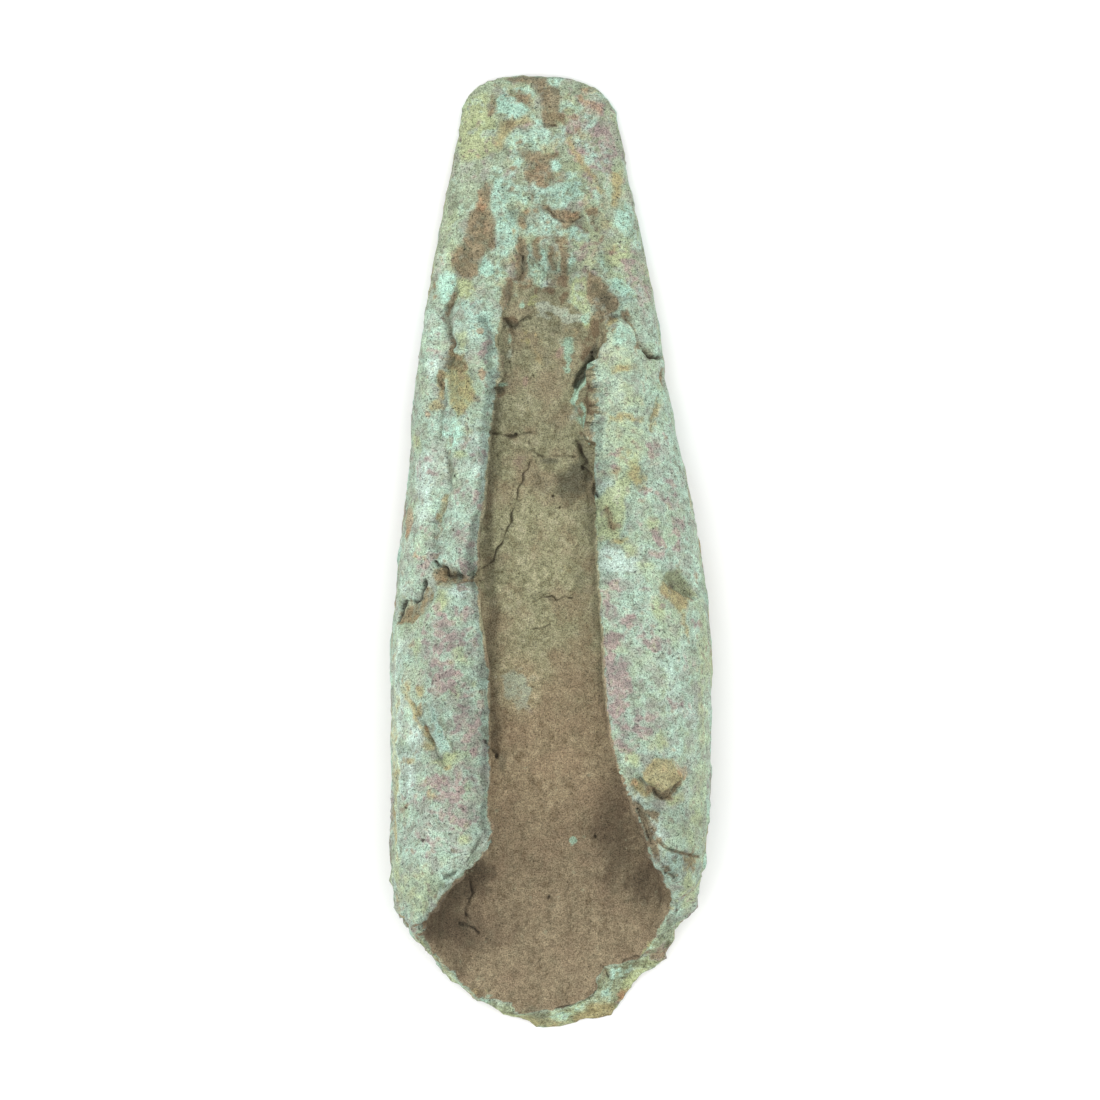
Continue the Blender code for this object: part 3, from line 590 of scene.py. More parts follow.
OCHRE_RIM = ((570, 1016), (588, 1006), (602, 998), (614, 1002), (606, 1016), (580, 1022))
LEAF_RIM = ((622, 984), (636, 972), (648, 966), (642, 976), (630, 992), (618, 996))
PALE_RIM = ((646, 940), (660, 938), (666, 948), (650, 966), (640, 968))
GREY_RIM = ((524, 1004), (546, 1008), (548, 1022), (524, 1018))
SOCKET_PATCHES = {
    "turquoise": (
        (HOLLOW_TURQUOISE, 0.85), (FLAKE_FOOT, 0.8), (BRIGHT_RIM, 0.55), (LOWER_RIM, 0.5),
        (GREEN_RIM, 0.45), (PALE_RIM, 0.35),
    ),
    "leaf": ((LEAF_STRIP, 1.3), (LEAF_RIM, 1.2), (GREEN_RIM, 0.8), (PALE_RIM, 0.8)),
    "pale": ((FLAKE_FOOT, 0.7),),
    "ochre": ((OCHRE_RIM, 1.3),),
    "brown": (
        (FLAKE_BROWN, 1.0), (WALL_BROWN, 0.65), (RED_BROWN, 1.25), (RED_RIM, 0.9),
        (GREY_SPUR, 0.7), (ORANGE_RIM, 0.7),
    ),
    "orange": ((ORANGE_RIM, 0.8),),
    "pink": ((RED_RIM, 1.3),),
    "dark": ((GREY_RIM, 0.7), (GREY_SPUR, 0.4)),
}
SOCKET_STAINS = {
    "turquoise": (
        (521, 306, 4, 6, 0.9), (502, 383, 8, 3, 0.9), (508, 340, 2.5, 12, 0.6),
        (573, 843, 4, 4, 1.2), (582, 320, 7, 6, 0.7), (568, 316, 4, 3, 0.9),
        (484, 1000, 14, 4, 0.6),
    ),
    "leaf": (
        (582, 322, 8, 8, 0.7), (520, 340, 10, 12, 0.5), (500, 1018, 40, 8, 0.9),
        (590, 1020, 60, 6, 0.6), (683, 900, 10, 16, 0.6), (518, 686, 16, 20, 0.55),
    ),
    "pink": (
        (562, 355, 4, 7, 1.1), (526, 382, 3, 6, 1.2), (581, 411, 4, 6, 1.0), (519, 460, 8, 14, 0.4),
        (540, 705, 30, 14, 0.35), (505, 295, 5, 10, 0.6), (560, 308, 6, 4, 0.6),
        (515, 385, 8, 10, 0.5),
    ),
    "brown": (
        (592, 400, 5, 12, 0.9), (496, 365, 5, 22, 0.6), (594, 430, 4, 16, 0.6),
        (512, 322, 8, 5, 0.9), (500, 390, 8, 8, 0.8), (507, 300, 5, 18, 0.8),
        (552, 300, 14, 10, 0.6), (583, 432, 4, 8, 0.6),
    ),
    "pale": (
        (573, 418, 5, 6, 0.8), (576, 410, 3, 12, 0.9), (518, 687, 18, 20, 1.0),
        (545, 312, 12, 6, 0.6), (558, 572, 6, 4, 0.5), (508, 330, 3, 8, 0.7),
        (518, 705, 10, 10, 0.45), (508, 355, 4, 5, 0.7), (532, 390, 3, 30, 0.35),
        (555, 308, 5, 4, 0.7), (500, 405, 6, 18, 0.3),
    ),
    # Some of these are painted shadow: beside the lifted flake and under the small ledges
    "dark": (
        (578, 474, 10, 12, 1.1), (571, 489, 20, 15, 0.9), (585, 515, 10, 30, 0.5),
        (500, 762, 8, 10, 0.7), (550, 461, 9, 3, 0.9), (580, 378, 4, 8, 1.0), (588, 366, 6, 4, 1.1),
        (500, 388, 7, 5, 0.9), (582, 455, 6, 18, 0.8), (548, 355, 8, 12, 0.5),
        (556, 425, 10, 8, 0.45), (536, 485, 12, 16, 0.45), (583, 580, 12, 24, 0.45),
        (595, 350, 4, 14, 0.8), (510, 325, 8, 4, 0.9), (540, 640, 16, 10, 0.3),
        (466, 925, 12, 5, 0.5),
    ),
    # Painted shade under the wings, along the walls below the lips and at the mouth's corners
    "under_wing_shade": (
        (452, 925, 24, 26, 1.0), (612, 832, 20, 52, 0.82), (640, 880, 16, 24, 0.9),
        (470, 880, 16, 18, 0.7), (440, 905, 16, 16, 0.95), (500, 925, 30, 20, 0.25),
        (592, 484, 6, 40, 0.15), (655, 890, 10, 14, 0.7), (424, 925, 6, 10, 0.8),
    ),
    "shaded": (
        (571, 485, 15, 14, 0.6), (548, 300, 26, 24, 0.9), (562, 326, 14, 12, 0.8),
        (504, 370, 10, 16, 0.8), (500, 566, 10, 14, 0.7), (486, 940, 16, 14, 0.8),
        (456, 968, 10, 10, 0.9), (545, 300, 20, 12, 1.2),
    ),
    "lit": (
        (522, 684, 22, 26, 1.1), (500, 784, 14, 26, 0.8), (545, 780, 30, 40, 0.4),
        (590, 447, 8, 16, 1.4),
    ),
    "ochre": (
        (534, 342, 4, 14, 0.8), (540, 350, 9, 22, 0.5), (530, 420, 25, 12, 0.35),
        (570, 568, 6, 6, 0.5), (575, 420, 5, 5, 0.5), (640, 1000, 20, 8, 0.6),
        (470, 992, 14, 5, 0.6), (520, 337, 8, 10, 0.6), (575, 330, 8, 5, 0.6),
        (540, 1021, 30, 4, 0.7),
    ),
}
FLAKE_LINE = ((598, 367), (591, 371), (585, 380), (579, 390), (575, 402))
FLAKE_TAIL = ((584, 402), (587, 415), (589, 430), (590, 442))
SHADOW_LINE = ((595, 352), (589, 366), (582, 376), (577, 386))
LEFT_WALL = ((494, 390), (490, 460), (485, 540), (489, 598), (491, 700), (492, 750))
TEAR_FOOT = ((430, 928), (442, 908), (456, 894), (468, 882), (480, 870))
END_FOOT = ((632, 802), (640, 828), (650, 854), (661, 878))
RIGHT_WALL = ((594, 430), (592, 500), (598, 600), (604, 700), (618, 760))
SOCKET_STREAKS = {
    "turquoise": ((FLAKE_LINE, 4.0, 1.3), (FLAKE_TAIL, 2.5, 1.0)),
    "pale": ((FLAKE_LINE, 4.0, 1.3), (LILAC_BAND, 4, 1.6), (FLAKE_TAIL, 2.5, 0.8)),
    "dark": ((SHADOW_LINE, 4.0, 1.6),),
    "shaded": ((SHADOW_LINE, 4.0, 1.0),),
    "lit": ((FLAKE_LINE, 3.0, 1.0),),
    # Painted shade along the walls below the lips and under the torn ends of the wings
    "under_wing_shade": (
        (LEFT_WALL, 6, 0.75), (RIGHT_WALL, 5, 0.45), (TEAR_FOOT, 12, 1.0), (END_FOOT, 6, 0.6),
    ),
}

# The hollow where the socket starts, whose earth reaches up onto the blade
HOLLOW = (
    (501, 286), (508, 277), (516, 283), (526, 286), (531, 284), (544, 290), (557, 287), (562, 274),
    (570, 272), (570, 305), (580, 313), (586, 324), (592, 320), (598, 345), (540, 350), (504, 345),
    (502, 320),
)

# Where the earth on the socket's floor ends, from left to right
EARTH_END = (
    (421, 935), (427, 945), (440, 957), (450, 970), (462, 985), (478, 998), (500, 1001),
    (513, 1003), (517, 1013), (530, 1013), (545, 1009), (565, 1006), (585, 999), (596, 990),
    (598, 978), (605, 968), (618, 965), (640, 957), (648, 945), (655, 935), (664, 922), (669, 908),
    (671, 895), (673, 872), (678, 840),
)

# The torn ends of the wings, down to where their green crust meets the earth below
LEFT_END = (
    (493, 837), (481, 849), (479, 860), (470, 868), (462, 872), (450, 885), (438, 895), (434, 905),
    (426, 915), (422, 930), (410, 930), (404, 880), (420, 836),
)
RIGHT_END = (
    (647, 814), (653, 826), (656, 836), (647, 841), (646, 856), (655, 864), (662, 872), (668, 885),
    (672, 900), (700, 900), (700, 814),
)

# Each of these is a mark on the mesh's points, which the finish reads. The last three are
# painted: shade under the wings and at the mouth's corners, broader shade, and light
STAIN_NAMES = (
    "turquoise", "leaf", "ochre", "orange", "brown", "dark", "pink", "pale", "under_wing_shade", "shaded",
    "lit",
)

# Where no stain is placed, on the sides and the back, they lie as noise puts them:
# the size of their lumps, the noise above which they show, and a seed
SCATTER = {
    "leaf": (7.0, 0.10, 1), "ochre": (5.0, 0.28, 2), "brown": (4.0, 0.36, 3),
    "pink": (6.0, 0.05, 4), "turquoise": (6.5, 0.22, 5), "pale": (5.5, 0.18, 6),
}

# The blade is mottled with small stains all over, given the same way
BLADE_SCATTER = {
    "leaf": (3.4, 0.16, 7), "ochre": (2.4, 0.34, 8), "brown": (2.2, 0.34, 9),
    "pink": (4.0, 0.0, 10), "turquoise": (2.6, 0.05, 11), "dark": (1.6, 0.26, 12),
}

# The tones of the finish, each as it looks, from 0 to 255, and in a row from dark to light
WING_TONES = (
    (143, 154, 137), (156, 176, 157), (166, 191, 173), (176, 204, 187), (188, 217, 202),
)
BLADE_TONES = (
    (130, 138, 115), (142, 154, 130), (153, 169, 145), (163, 185, 161), (174, 201, 178),
)
RIM_TONES = ((112, 114, 88), (136, 144, 114), (154, 164, 134), (172, 188, 160))
UPPER_EARTH_TONES = ((130, 127, 99), (150, 149, 119), (163, 161, 130), (176, 173, 143))
LOWER_EARTH_TONES = ((126, 112, 88), (142, 128, 103), (152, 138, 111), (164, 150, 122))
PINK_TONES = ((138, 123, 120), (170, 147, 142))
YELLOW_GREEN = (160, 172, 144)
MAUVE = (158, 155, 146)
OLIVE_GREEN = (164, 180, 142)
GREY_GREEN = (144, 145, 134)
RED_EARTH = (148, 129, 105)
# The tone of the painted shade under the wings
UNDER_WING_SHADE_TONE = (60, 50, 39)
# The tone of the painted shade in the relief's low spots
RECESS_SHADE_TONE = (84, 86, 68)
CRACK_TONE = (52, 46, 36)

# The stains of two tones: how far noise breaks their edge up, how soft it is, the mark from
# which they show, their dark and their light tone, and the most that they cover
COATS = {
    "pale": (2.6, 0.5, 0.5, (176, 196, 184), (202, 224, 214), 0.75),
    "leaf": (2.8, 0.5, 0.5, (152, 160, 114), (184, 194, 144), 0.75),
    "turquoise": (3.2, 0.4, 0.5, (150, 186, 167), (176, 216, 199), 0.88),
    "ochre": (2.8, 0.5, 0.57, (142, 130, 90), (174, 160, 112), 0.8),
    "brown": (3.2, 0.45, 0.57, (104, 90, 66), (146, 128, 99), 0.88),
    "orange": (2.2, 0.35, 0.57, (152, 116, 86), (182, 146, 112), 0.6),
    "dark": (2.0, 0.5, 0.57, (80, 80, 64), (108, 108, 90), 0.75),
}

# The tone that each stain gives the earth, in the order in which they lie on it
EARTH_STAINS = (
    ("leaf", (168, 174, 118)), ("pale", (168, 176, 156)), ("turquoise", (162, 196, 172)),
    ("pink", (158, 139, 122)), ("ochre", (158, 142, 102)), ("brown", (112, 94, 72)),
)

# Most of the noise falls this far either side of a half
NOISE_SPREAD = 0.11

# The width of the floor, in metres, and the camera's lens, in millimetres. Then, in metres,
# the width of what the camera sees, the height at which it is that wide, and its middle
FLOOR_SIZE = 12.0
LENS = 400.0
VIEW_WIDTH = 0.16159
FOCUS_HEIGHT = 0.010
VIEW_MIDDLE = (-0.00015, 0.00007)

# The strength of the pale surroundings, and the softboxes: direction from the chisel
# (azimuth and elevation), distance and size in metres, and power in watts
ROOM_LIGHT = 0.74
SOFTBOXES = (
    ((0, 90), 3.2, 1.6, 48),
    ((-60, 50), 2.6, 1.8, 14),
    ((120, 50), 2.6, 1.8, 8),
)


def fade(value, low, high):
    """0 up to low, 1 from high on, and a smooth change between them."""
    share = np.clip((value - low) / (high - low), 0.0, 1.0)
    return share * share * (3 - 2 * share)


def on_chisel(points):
    """Points given in the photograph's pixels, as places on the chisel."""
    return [((x - MIDDLE[0]) * PIXEL, (MIDDLE[1] - y) * PIXEL) for x, y in points]


def distance_to_line(spots, line):
    """How far each spot is from a line through points."""
    line = on_chisel(line)
    nearest = np.full(len(spots), np.inf)
    for start, end in zip(line[:-1], line[1:]):
        start, run = np.array(start), np.subtract(end, start)
        share = np.clip((spots - start) @ run / (run @ run), 0.0, 1.0)
        nearest = np.minimum(nearest, np.linalg.norm(spots - start - share[:, None] * run, axis=1))
    return nearest


def depth_within(spots, outline):
    """How far each spot is inside a closed outline, below zero outside it."""
    closed = on_chisel((*outline, outline[0]))
    within = np.zeros(len(spots), dtype=bool)
    for (x0, y0), (x1, y1) in zip(closed[:-1], closed[1:]):
        if y0 == y1:
            continue
        crossing = x0 + (spots[:, 1] - y0) / (y1 - y0) * (x1 - x0)
        between = (spots[:, 1] >= min(y0, y1)) & (spots[:, 1] < max(y0, y1))
        within ^= between & (spots[:, 0] < crossing)
    return np.where(within, 1.0, -1.0) * distance_to_line(spots, (*outline, outline[0]))


def ripple(places, size, seed):
    """Soft noise from -1 to 1, with lumps of about that size."""
    shift = Vector((seed * 17.3, seed * 5.9, seed * 11.1))
    return np.array([noise.noise(Vector(place) / size + shift) for place in places])


def crest_along(x, y, z):
    """The height of the wings above each place, which never falls towards the mouth."""
    edges = np.linspace(y.max(), y.min(), CREST_STEPS + 1)
    tops = [z[(y <= high) & (y >= low)].max() for high, low in zip(edges[:-1], edges[1:])]
    tops = np.maximum.accumulate(tops)
    middles = (edges[:-1] + edges[1:]) / 2
    return np.interp(-y, -middles, tops)


class Skin:
    """The places and directions of a mesh's points, in millimetres, and where they lie."""

    def __init__(self, mesh):
        self.places = np.array([vertex.co for vertex in mesh.verts]) / MM
        self.facing = np.array([vertex.normal for vertex in mesh.verts])
        self.spots = self.places[:, :2]
        x, y, z = self.places.T
        crest = crest_along(x, y, z)
        floor = np.interp(y, *np.transpose(FLOOR_LINE))
        to_middle = np.column_stack([SOCKET_MIDDLE - x, (floor + crest) / 2 - z])
        to_middle /= np.linalg.norm(to_middle, axis=1)[:, None] + 1e-9
        start = fade(-y, -SOCKET_START, -SOCKET_FULL)
        open_end = fade(-y, -OPEN_START, -OPEN_FULL)
        # How squarely each point faces the socket's middle, with the rim taken as facing it
        inward = (to_middle * self.facing[:, (0, 2)]).sum(axis=1) + 0.25 * open_end
        self.socket = fade(inward, -0.1, 0.3) * start
        self.outside = 1 - fade(inward, 0.0, 0.3) * start
        self.upward = fade(self.facing[:, 2], 0.0, 0.35)
        self.wander = np.column_stack([
            1.5 * ripple(self.places, 4.0, seed) + 1.0 * ripple(self.places, 1.5, seed + 1)
            for seed in (51, 61)
        ])
        self.shiver = 0.3 * np.column_stack([ripple(self.places, 1.2, seed) for seed in (53, 63)])
        # Under the wings the floor slowly passes out of the slot's sight
        under_slot = fade(-np.abs(x - SOCKET_MIDDLE), -SLOT_HALF - 5, -SLOT_HALF - 2)
        self.seen = self.upward * np.maximum(
            self.outside, self.socket * np.maximum(under_slot, open_end)
        )

    def wandering(self, reach):
        """The spots as a stain of that half width sees them, which makes its edge wander."""
        return self.spots + self.wander * min(reach / FULL_WANDER, 1.0)


def even_forging(node):
    """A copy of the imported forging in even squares, and the forging's own surface."""
    mesh = bmesh.new()
    mesh.from_mesh(node.data)
    bmesh.ops.remove_doubles(mesh, verts=mesh.verts, dist=1e-6)
    surface = BVHTree.FromBMesh(mesh)
    data = bpy.data.meshes.new("forging")
    mesh.to_mesh(data)
    forging = bpy.data.objects.new("forging", data)
    bpy.context.scene.collection.objects.link(forging)
    squares = forging.modifiers.new("squares", "REMESH")
    squares.mode = "VOXEL"
    squares.voxel_size = SQUARE * MM
    depsgraph = bpy.context.evaluated_depsgraph_get()
    even = bpy.data.meshes.new_from_object(forging.evaluated_get(depsgraph))
    bpy.data.objects.remove(forging, do_unlink=True)
    mesh.clear()
    mesh.from_mesh(even)
    return mesh, surface


def halve_squares(mesh, wanted):
    """Halves the squares between wanted points."""
    mesh.verts.index_update()
    edges = [
        edge for edge in mesh.edges
        if wanted[edge.verts[0].index] and wanted[edge.verts[1].index]
    ]
    bmesh.ops.subdivide_edges(mesh, edges=edges, cuts=1, use_grid_fill=True)
    bmesh.ops.triangulate(mesh, faces=[face for face in mesh.faces if len(face.verts) > 4])


def soften(mesh, surface, rounds):
    """Smooths the squares' steps away without shrinking the forging's thin edges."""
    for _ in range(rounds):
        bmesh.ops.smooth_vert(
            mesh, verts=mesh.verts, factor=0.5, use_axis_x=True, use_axis_y=True, use_axis_z=True
        )
    for vertex in mesh.verts:
        nearest, *_ = surface.find_nearest(vertex.co)
        vertex.co = vertex.co.lerp(nearest, HOLD)
    mesh.normal_update()


def near_cracks(skin, room):
    """The points close to a crack or a pit."""
    near = np.zeros(len(skin.spots), dtype=bool)
    for cracks, layer in ((OUTER_CRACKS, skin.outside), (SOCKET_CRACKS, skin.socket)):
        for line, *_ in cracks:
            near |= (distance_to_line(skin.spots, line) < room) & (layer > LAYER_SHARE)
    for pits, layer in ((OUTER_PITS, skin.outside), (SOCKET_PITS, skin.socket)):
        for pixel_x, pixel_y, reach, _ in pits:
            away = distance_to_line(skin.spots, ((pixel_x, pixel_y), (pixel_x + 1, pixel_y)))
            near |= (away < reach + room) & (layer > LAYER_SHARE)
    return near & (skin.seen > LAYER_SHARE)


def near_flakes(skin, room):
    """The points close to the edge of a flake."""
    near = np.zeros(len(skin.spots), dtype=bool)
    for shelves, layer in ((OUTER_SHELVES, skin.outside), (SOCKET_SHELVES, skin.socket)):
        for outline, *_ in shelves:
            near |= (np.abs(depth_within(skin.spots, outline)) < room) & (layer > LAYER_SHARE)
    return near & (skin.seen > LAYER_SHARE)


def crack_depth(skin, cracks, pits, wander, uneven):
    """How deep the cracks and pits are at each point, and how dark."""
    deep, dark = np.zeros(len(skin.spots)), np.zeros(len(skin.spots))
    spots = skin.spots + wander
    for line, reach, depth, shade in cracks:
        away = distance_to_line(spots, line) / (reach * np.clip(1 + 0.9 * uneven, 0.3, 2.0))
        deep = np.maximum(deep, depth * (1 + uneven) * np.clip(1 - away, 0.0, 1.0))
        shade = np.clip(shade * (1 + 1.4 * uneven), 0.0, 1.0)
        dark = np.maximum(dark, fade(1 - away, 0.1, 0.9) * shade)
    for pixel_x, pixel_y, reach, depth in pits:
        ((x, y),) = on_chisel([(pixel_x, pixel_y)])
        away = np.hypot(spots[:, 0] - x, spots[:, 1] - y) / reach
        deep = np.maximum(deep, depth * fade(1 - away, 0.0, 1.0))
        dark = np.maximum(dark, fade(1 - away, 0.0, 0.6))
    return deep, dark


def shelf_height(skin, shelves, wander):
    """How far flakes rise and scars sink at each point."""
    height = np.zeros(len(skin.spots))
    for outline, rise, edge in shelves:
        height += rise * fade(depth_within(skin.spots + wander, outline), -edge / 2, edge / 2)
    return height


def ridge_height(skin, ridges):
    """How high the swollen ridges are at each point."""
    height = np.zeros(len(skin.spots))
    for line, reach, rise in ridges:
        away = distance_to_line(skin.spots + 0.4 * skin.wander, line) / reach
        height += rise * np.exp(-away**2)
    return height


def edge_shift(skin, swells):
    """How far each point moves away from the chisel's middle line."""
    x, y = skin.spots.T
    outward = np.column_stack([x - SOCKET_MIDDLE, np.minimum(y - MOUTH_MIDDLE, 0.0)])
    outward /= np.linalg.norm(outward, axis=1)[:, None] + 1e-9
    far = np.zeros(len(x))
    for pixel_x, pixel_y, reach, swell in swells:
        ((middle_x, middle_y),) = on_chisel([(pixel_x, pixel_y)])
        far += swell * np.exp(-((x - middle_x) ** 2 + (y - middle_y) ** 2) / reach**2)
    return outward * far[:, None]


def stain(skin, stains, streaks, patches, name):
    """How strongly a stain covers each point: in full at its middle, half at its border."""
    cover = np.zeros(len(skin.spots))
    for pixel_x, pixel_y, wide, high, strength in stains.get(name, ()):
        ((middle_x, middle_y),) = on_chisel([(pixel_x, pixel_y)])
        wide, high = wide * PIXEL, high * PIXEL
        x, y = skin.wandering(min(wide, high)).T
        away = np.hypot((x - middle_x) / wide, (y - middle_y) / high)
        cover = np.maximum(cover, strength * fade(-away, -STAIN_EDGE, -STAIN_CORE))
    for line, reach, strength in streaks.get(name, ()):
        reach *= PIXEL
        away = distance_to_line(skin.wandering(reach), line) / reach
        cover = np.maximum(cover, strength * fade(-away, -STAIN_EDGE, -STAIN_CORE))
    for outline, strength in patches.get(name, ()):
        within = depth_within(skin.spots + skin.shiver, outline)
        cover = np.maximum(cover, strength * fade(within, -PATCH_EDGE, PATCH_EDGE))
    return cover


def scattered(skin, name, table):
    """How strongly a stain that noise places covers each point."""
    if name not in table:
        return np.zeros(len(skin.spots))
    size, level, seed = table[name]
    lumps = ripple(skin.places, size, seed) + 0.5 * ripple(skin.places, size / 2.6, seed + 20)
    return 0.95 * fade(lumps, level - 0.3, level + 0.3)


def work_surface(mesh):
    """Sculpts the corroded surface and returns the marks that its finish reads."""
    skin = Skin(mesh)
    x, y, z = skin.places.T
    wander = 0.45 * np.column_stack([ripple(skin.places, 1.4, seed) for seed in (31, 32)])
    crust = ripple(skin.places, 3.2, 41)
    lumps = ripple(skin.places, 1.5, 42)
    grain = ripple(skin.places, 0.75, 43)
    flakes = fade(ripple(skin.places, 2.4, 44) + 0.3 * grain, 0.10, 0.22)
    swell = ripple(skin.places, 9.0, 45)

    # The heights of the patina and of the earth, both rougher at the torn mouth
    sideways = 1 - np.abs(skin.facing[:, 2])
    torn = fade(-y, 38, 50) * sideways
    ragged = fade(-y, 30, 40) * sideways * fade(z, 5, 10) * (lumps + 0.7 * crust)
    outer = 0.14 * swell + 0.13 * crust + 0.11 * lumps + 0.08 * grain + 0.10 * flakes
    outer = outer * (1 + 1.2 * torn) + 0.3 * ragged
    earth = 0.20 * swell + 0.20 * crust + 0.14 * lumps + 0.09 * grain + 0.5 * ragged

    # The marks of the stains, of the blade and of the earth
    blade = fade(y + 3 * crust, 33, 41)
    marks = {"blade": blade}
    mixed = 0.25 + 0.35 * fade(-np.abs(x), -10.0, -6.0)
    for name in STAIN_NAMES:
        placed = stain(skin, OUTER_STAINS, OUTER_STREAKS, OUTER_PATCHES, name) * skin.upward
        placed = np.maximum(placed, scattered(skin, name, SCATTER) * (1 - skin.upward))
        placed = np.maximum(placed, scattered(skin, name, BLADE_SCATTER) * blade * mixed)
        inside = stain(skin, SOCKET_STAINS, SOCKET_STREAKS, SOCKET_PATCHES, name)
        marks[name] = np.maximum(placed * skin.outside, inside * skin.socket)
    end = np.interp(x, *np.transpose(on_chisel(EARTH_END)))
    hollow = fade(depth_within(skin.spots + 0.5 * skin.wander, HOLLOW), -0.8, 0.8) * skin.upward
    floor = skin.socket * fade(-y + 3 * crust, -35.0, -33.0)
    marks["earth"] = np.maximum(floor * fade(y - end + 0.25 * lumps, -0.3, 0.3), hollow)
    wing_end = np.maximum(*(
        fade(depth_within(skin.spots + 0.4 * wander, outline), -0.3, 0.3)
        for outline in (LEFT_END, RIGHT_END)
    ))
    wing_end *= fade(-skin.facing[:, 1], 0.15, 0.35) * fade(skin.facing[:, 2], 0.0, 0.2)
    marks["earth"] *= 1 - wing_end
    # Lighter earth in the socket's middle: partly drier earth, partly painted light
    marks["dry_and_lit"] = fade(y, -48, -27) * (1 - 0.65 * fade(y, 4, 22)) * (1 - fade(y, 26, 34))
    marks["rim"] = fade(end - y + 0.3 * lumps, -0.3, 0.5) * fade(-y, 52, 58)
    marks["low"] = fade(-y + 6.0 * crust + 4.0 * swell, 9, 28)
    # Painted shade in the low spots of the relief
    marks["hollow"] = fade(-(lumps + grain), 0.1, 0.9)
    outer_deep, outer_dark = crack_depth(skin, OUTER_CRACKS, OUTER_PITS, wander, 1.3 * lumps)
    socket_deep, socket_dark = crack_depth(skin, SOCKET_CRACKS, SOCKET_PITS, wander, 0.9 * lumps)
    marks["crack"] = np.maximum(
        outer_dark * skin.outside * skin.upward, socket_dark * skin.socket
    )

    # The points move along their own directions, and then the worn edges move sideways
    relief = (outer - 0.20 * marks["brown"] + 0.12 * marks["turquoise"]) * (1 - marks["earth"])
    relief += (earth + 0.25) * marks["earth"]
    relief += skin.outside * skin.upward * (
        shelf_height(skin, OUTER_SHELVES, wander) + ridge_height(skin, OUTER_RIDGES) - outer_deep
    )
    relief += skin.socket * (shelf_height(skin, SOCKET_SHELVES, wander) - socket_deep)
    places = skin.places + skin.facing * relief[:, None]
    places[:, :2] += edge_shift(skin, EDGE_SWELLS)
    places[:, :2] += edge_shift(skin, LIP_WEAR) * fade(z, LIP_FOOT, LIP_FOOT + 4)[:, None]
    places[:, 2] = np.maximum(places[:, 2], 0.0)
    places *= MM
    for vertex, place in zip(mesh.verts, places):
        vertex.co = place
    mesh.normal_update()
    return marks


def make_chisel(node):
    """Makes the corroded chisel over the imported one."""
    mesh, surface = even_forging(node)
    soften(mesh, surface, SMOOTHING)
    halve_squares(mesh, Skin(mesh).seen > LAYER_SHARE)
    soften(mesh, surface, SMOOTHING)
    skin = Skin(mesh)
    halve_squares(mesh, near_cracks(skin, CRACK_ROOM) | near_flakes(skin, FLAKE_ROOM))
    soften(mesh, surface, 1)
    halve_squares(mesh, near_cracks(Skin(mesh), LAST_ROOM))
    soften(mesh, surface, 1)
    marks = work_surface(mesh)
    data = bpy.data.meshes.new("corroded_chisel")
    mesh.to_mesh(data)
    mesh.free()
    for name, values in marks.items():
        attribute = data.attributes.new(name, "FLOAT", "POINT")
        attribute.data.foreach_set("value", values.astype(np.float32))
    data.shade_smooth()
    data.materials.append(patina())
    chisel = bpy.data.objects.new("corroded_chisel", data)
    bpy.context.scene.collection.objects.link(chisel)
    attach(chisel, "root")
    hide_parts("chisel")


def as_light(tone):
    """A tone given as it looks, from 0 to 255, as the light that the shader mixes."""
    return tuple(
        c / 12.92 if c <= 0.04045 else ((c + 0.055) / 1.055) ** 2.4
        for c in (value / 255 for value in tone)
    )


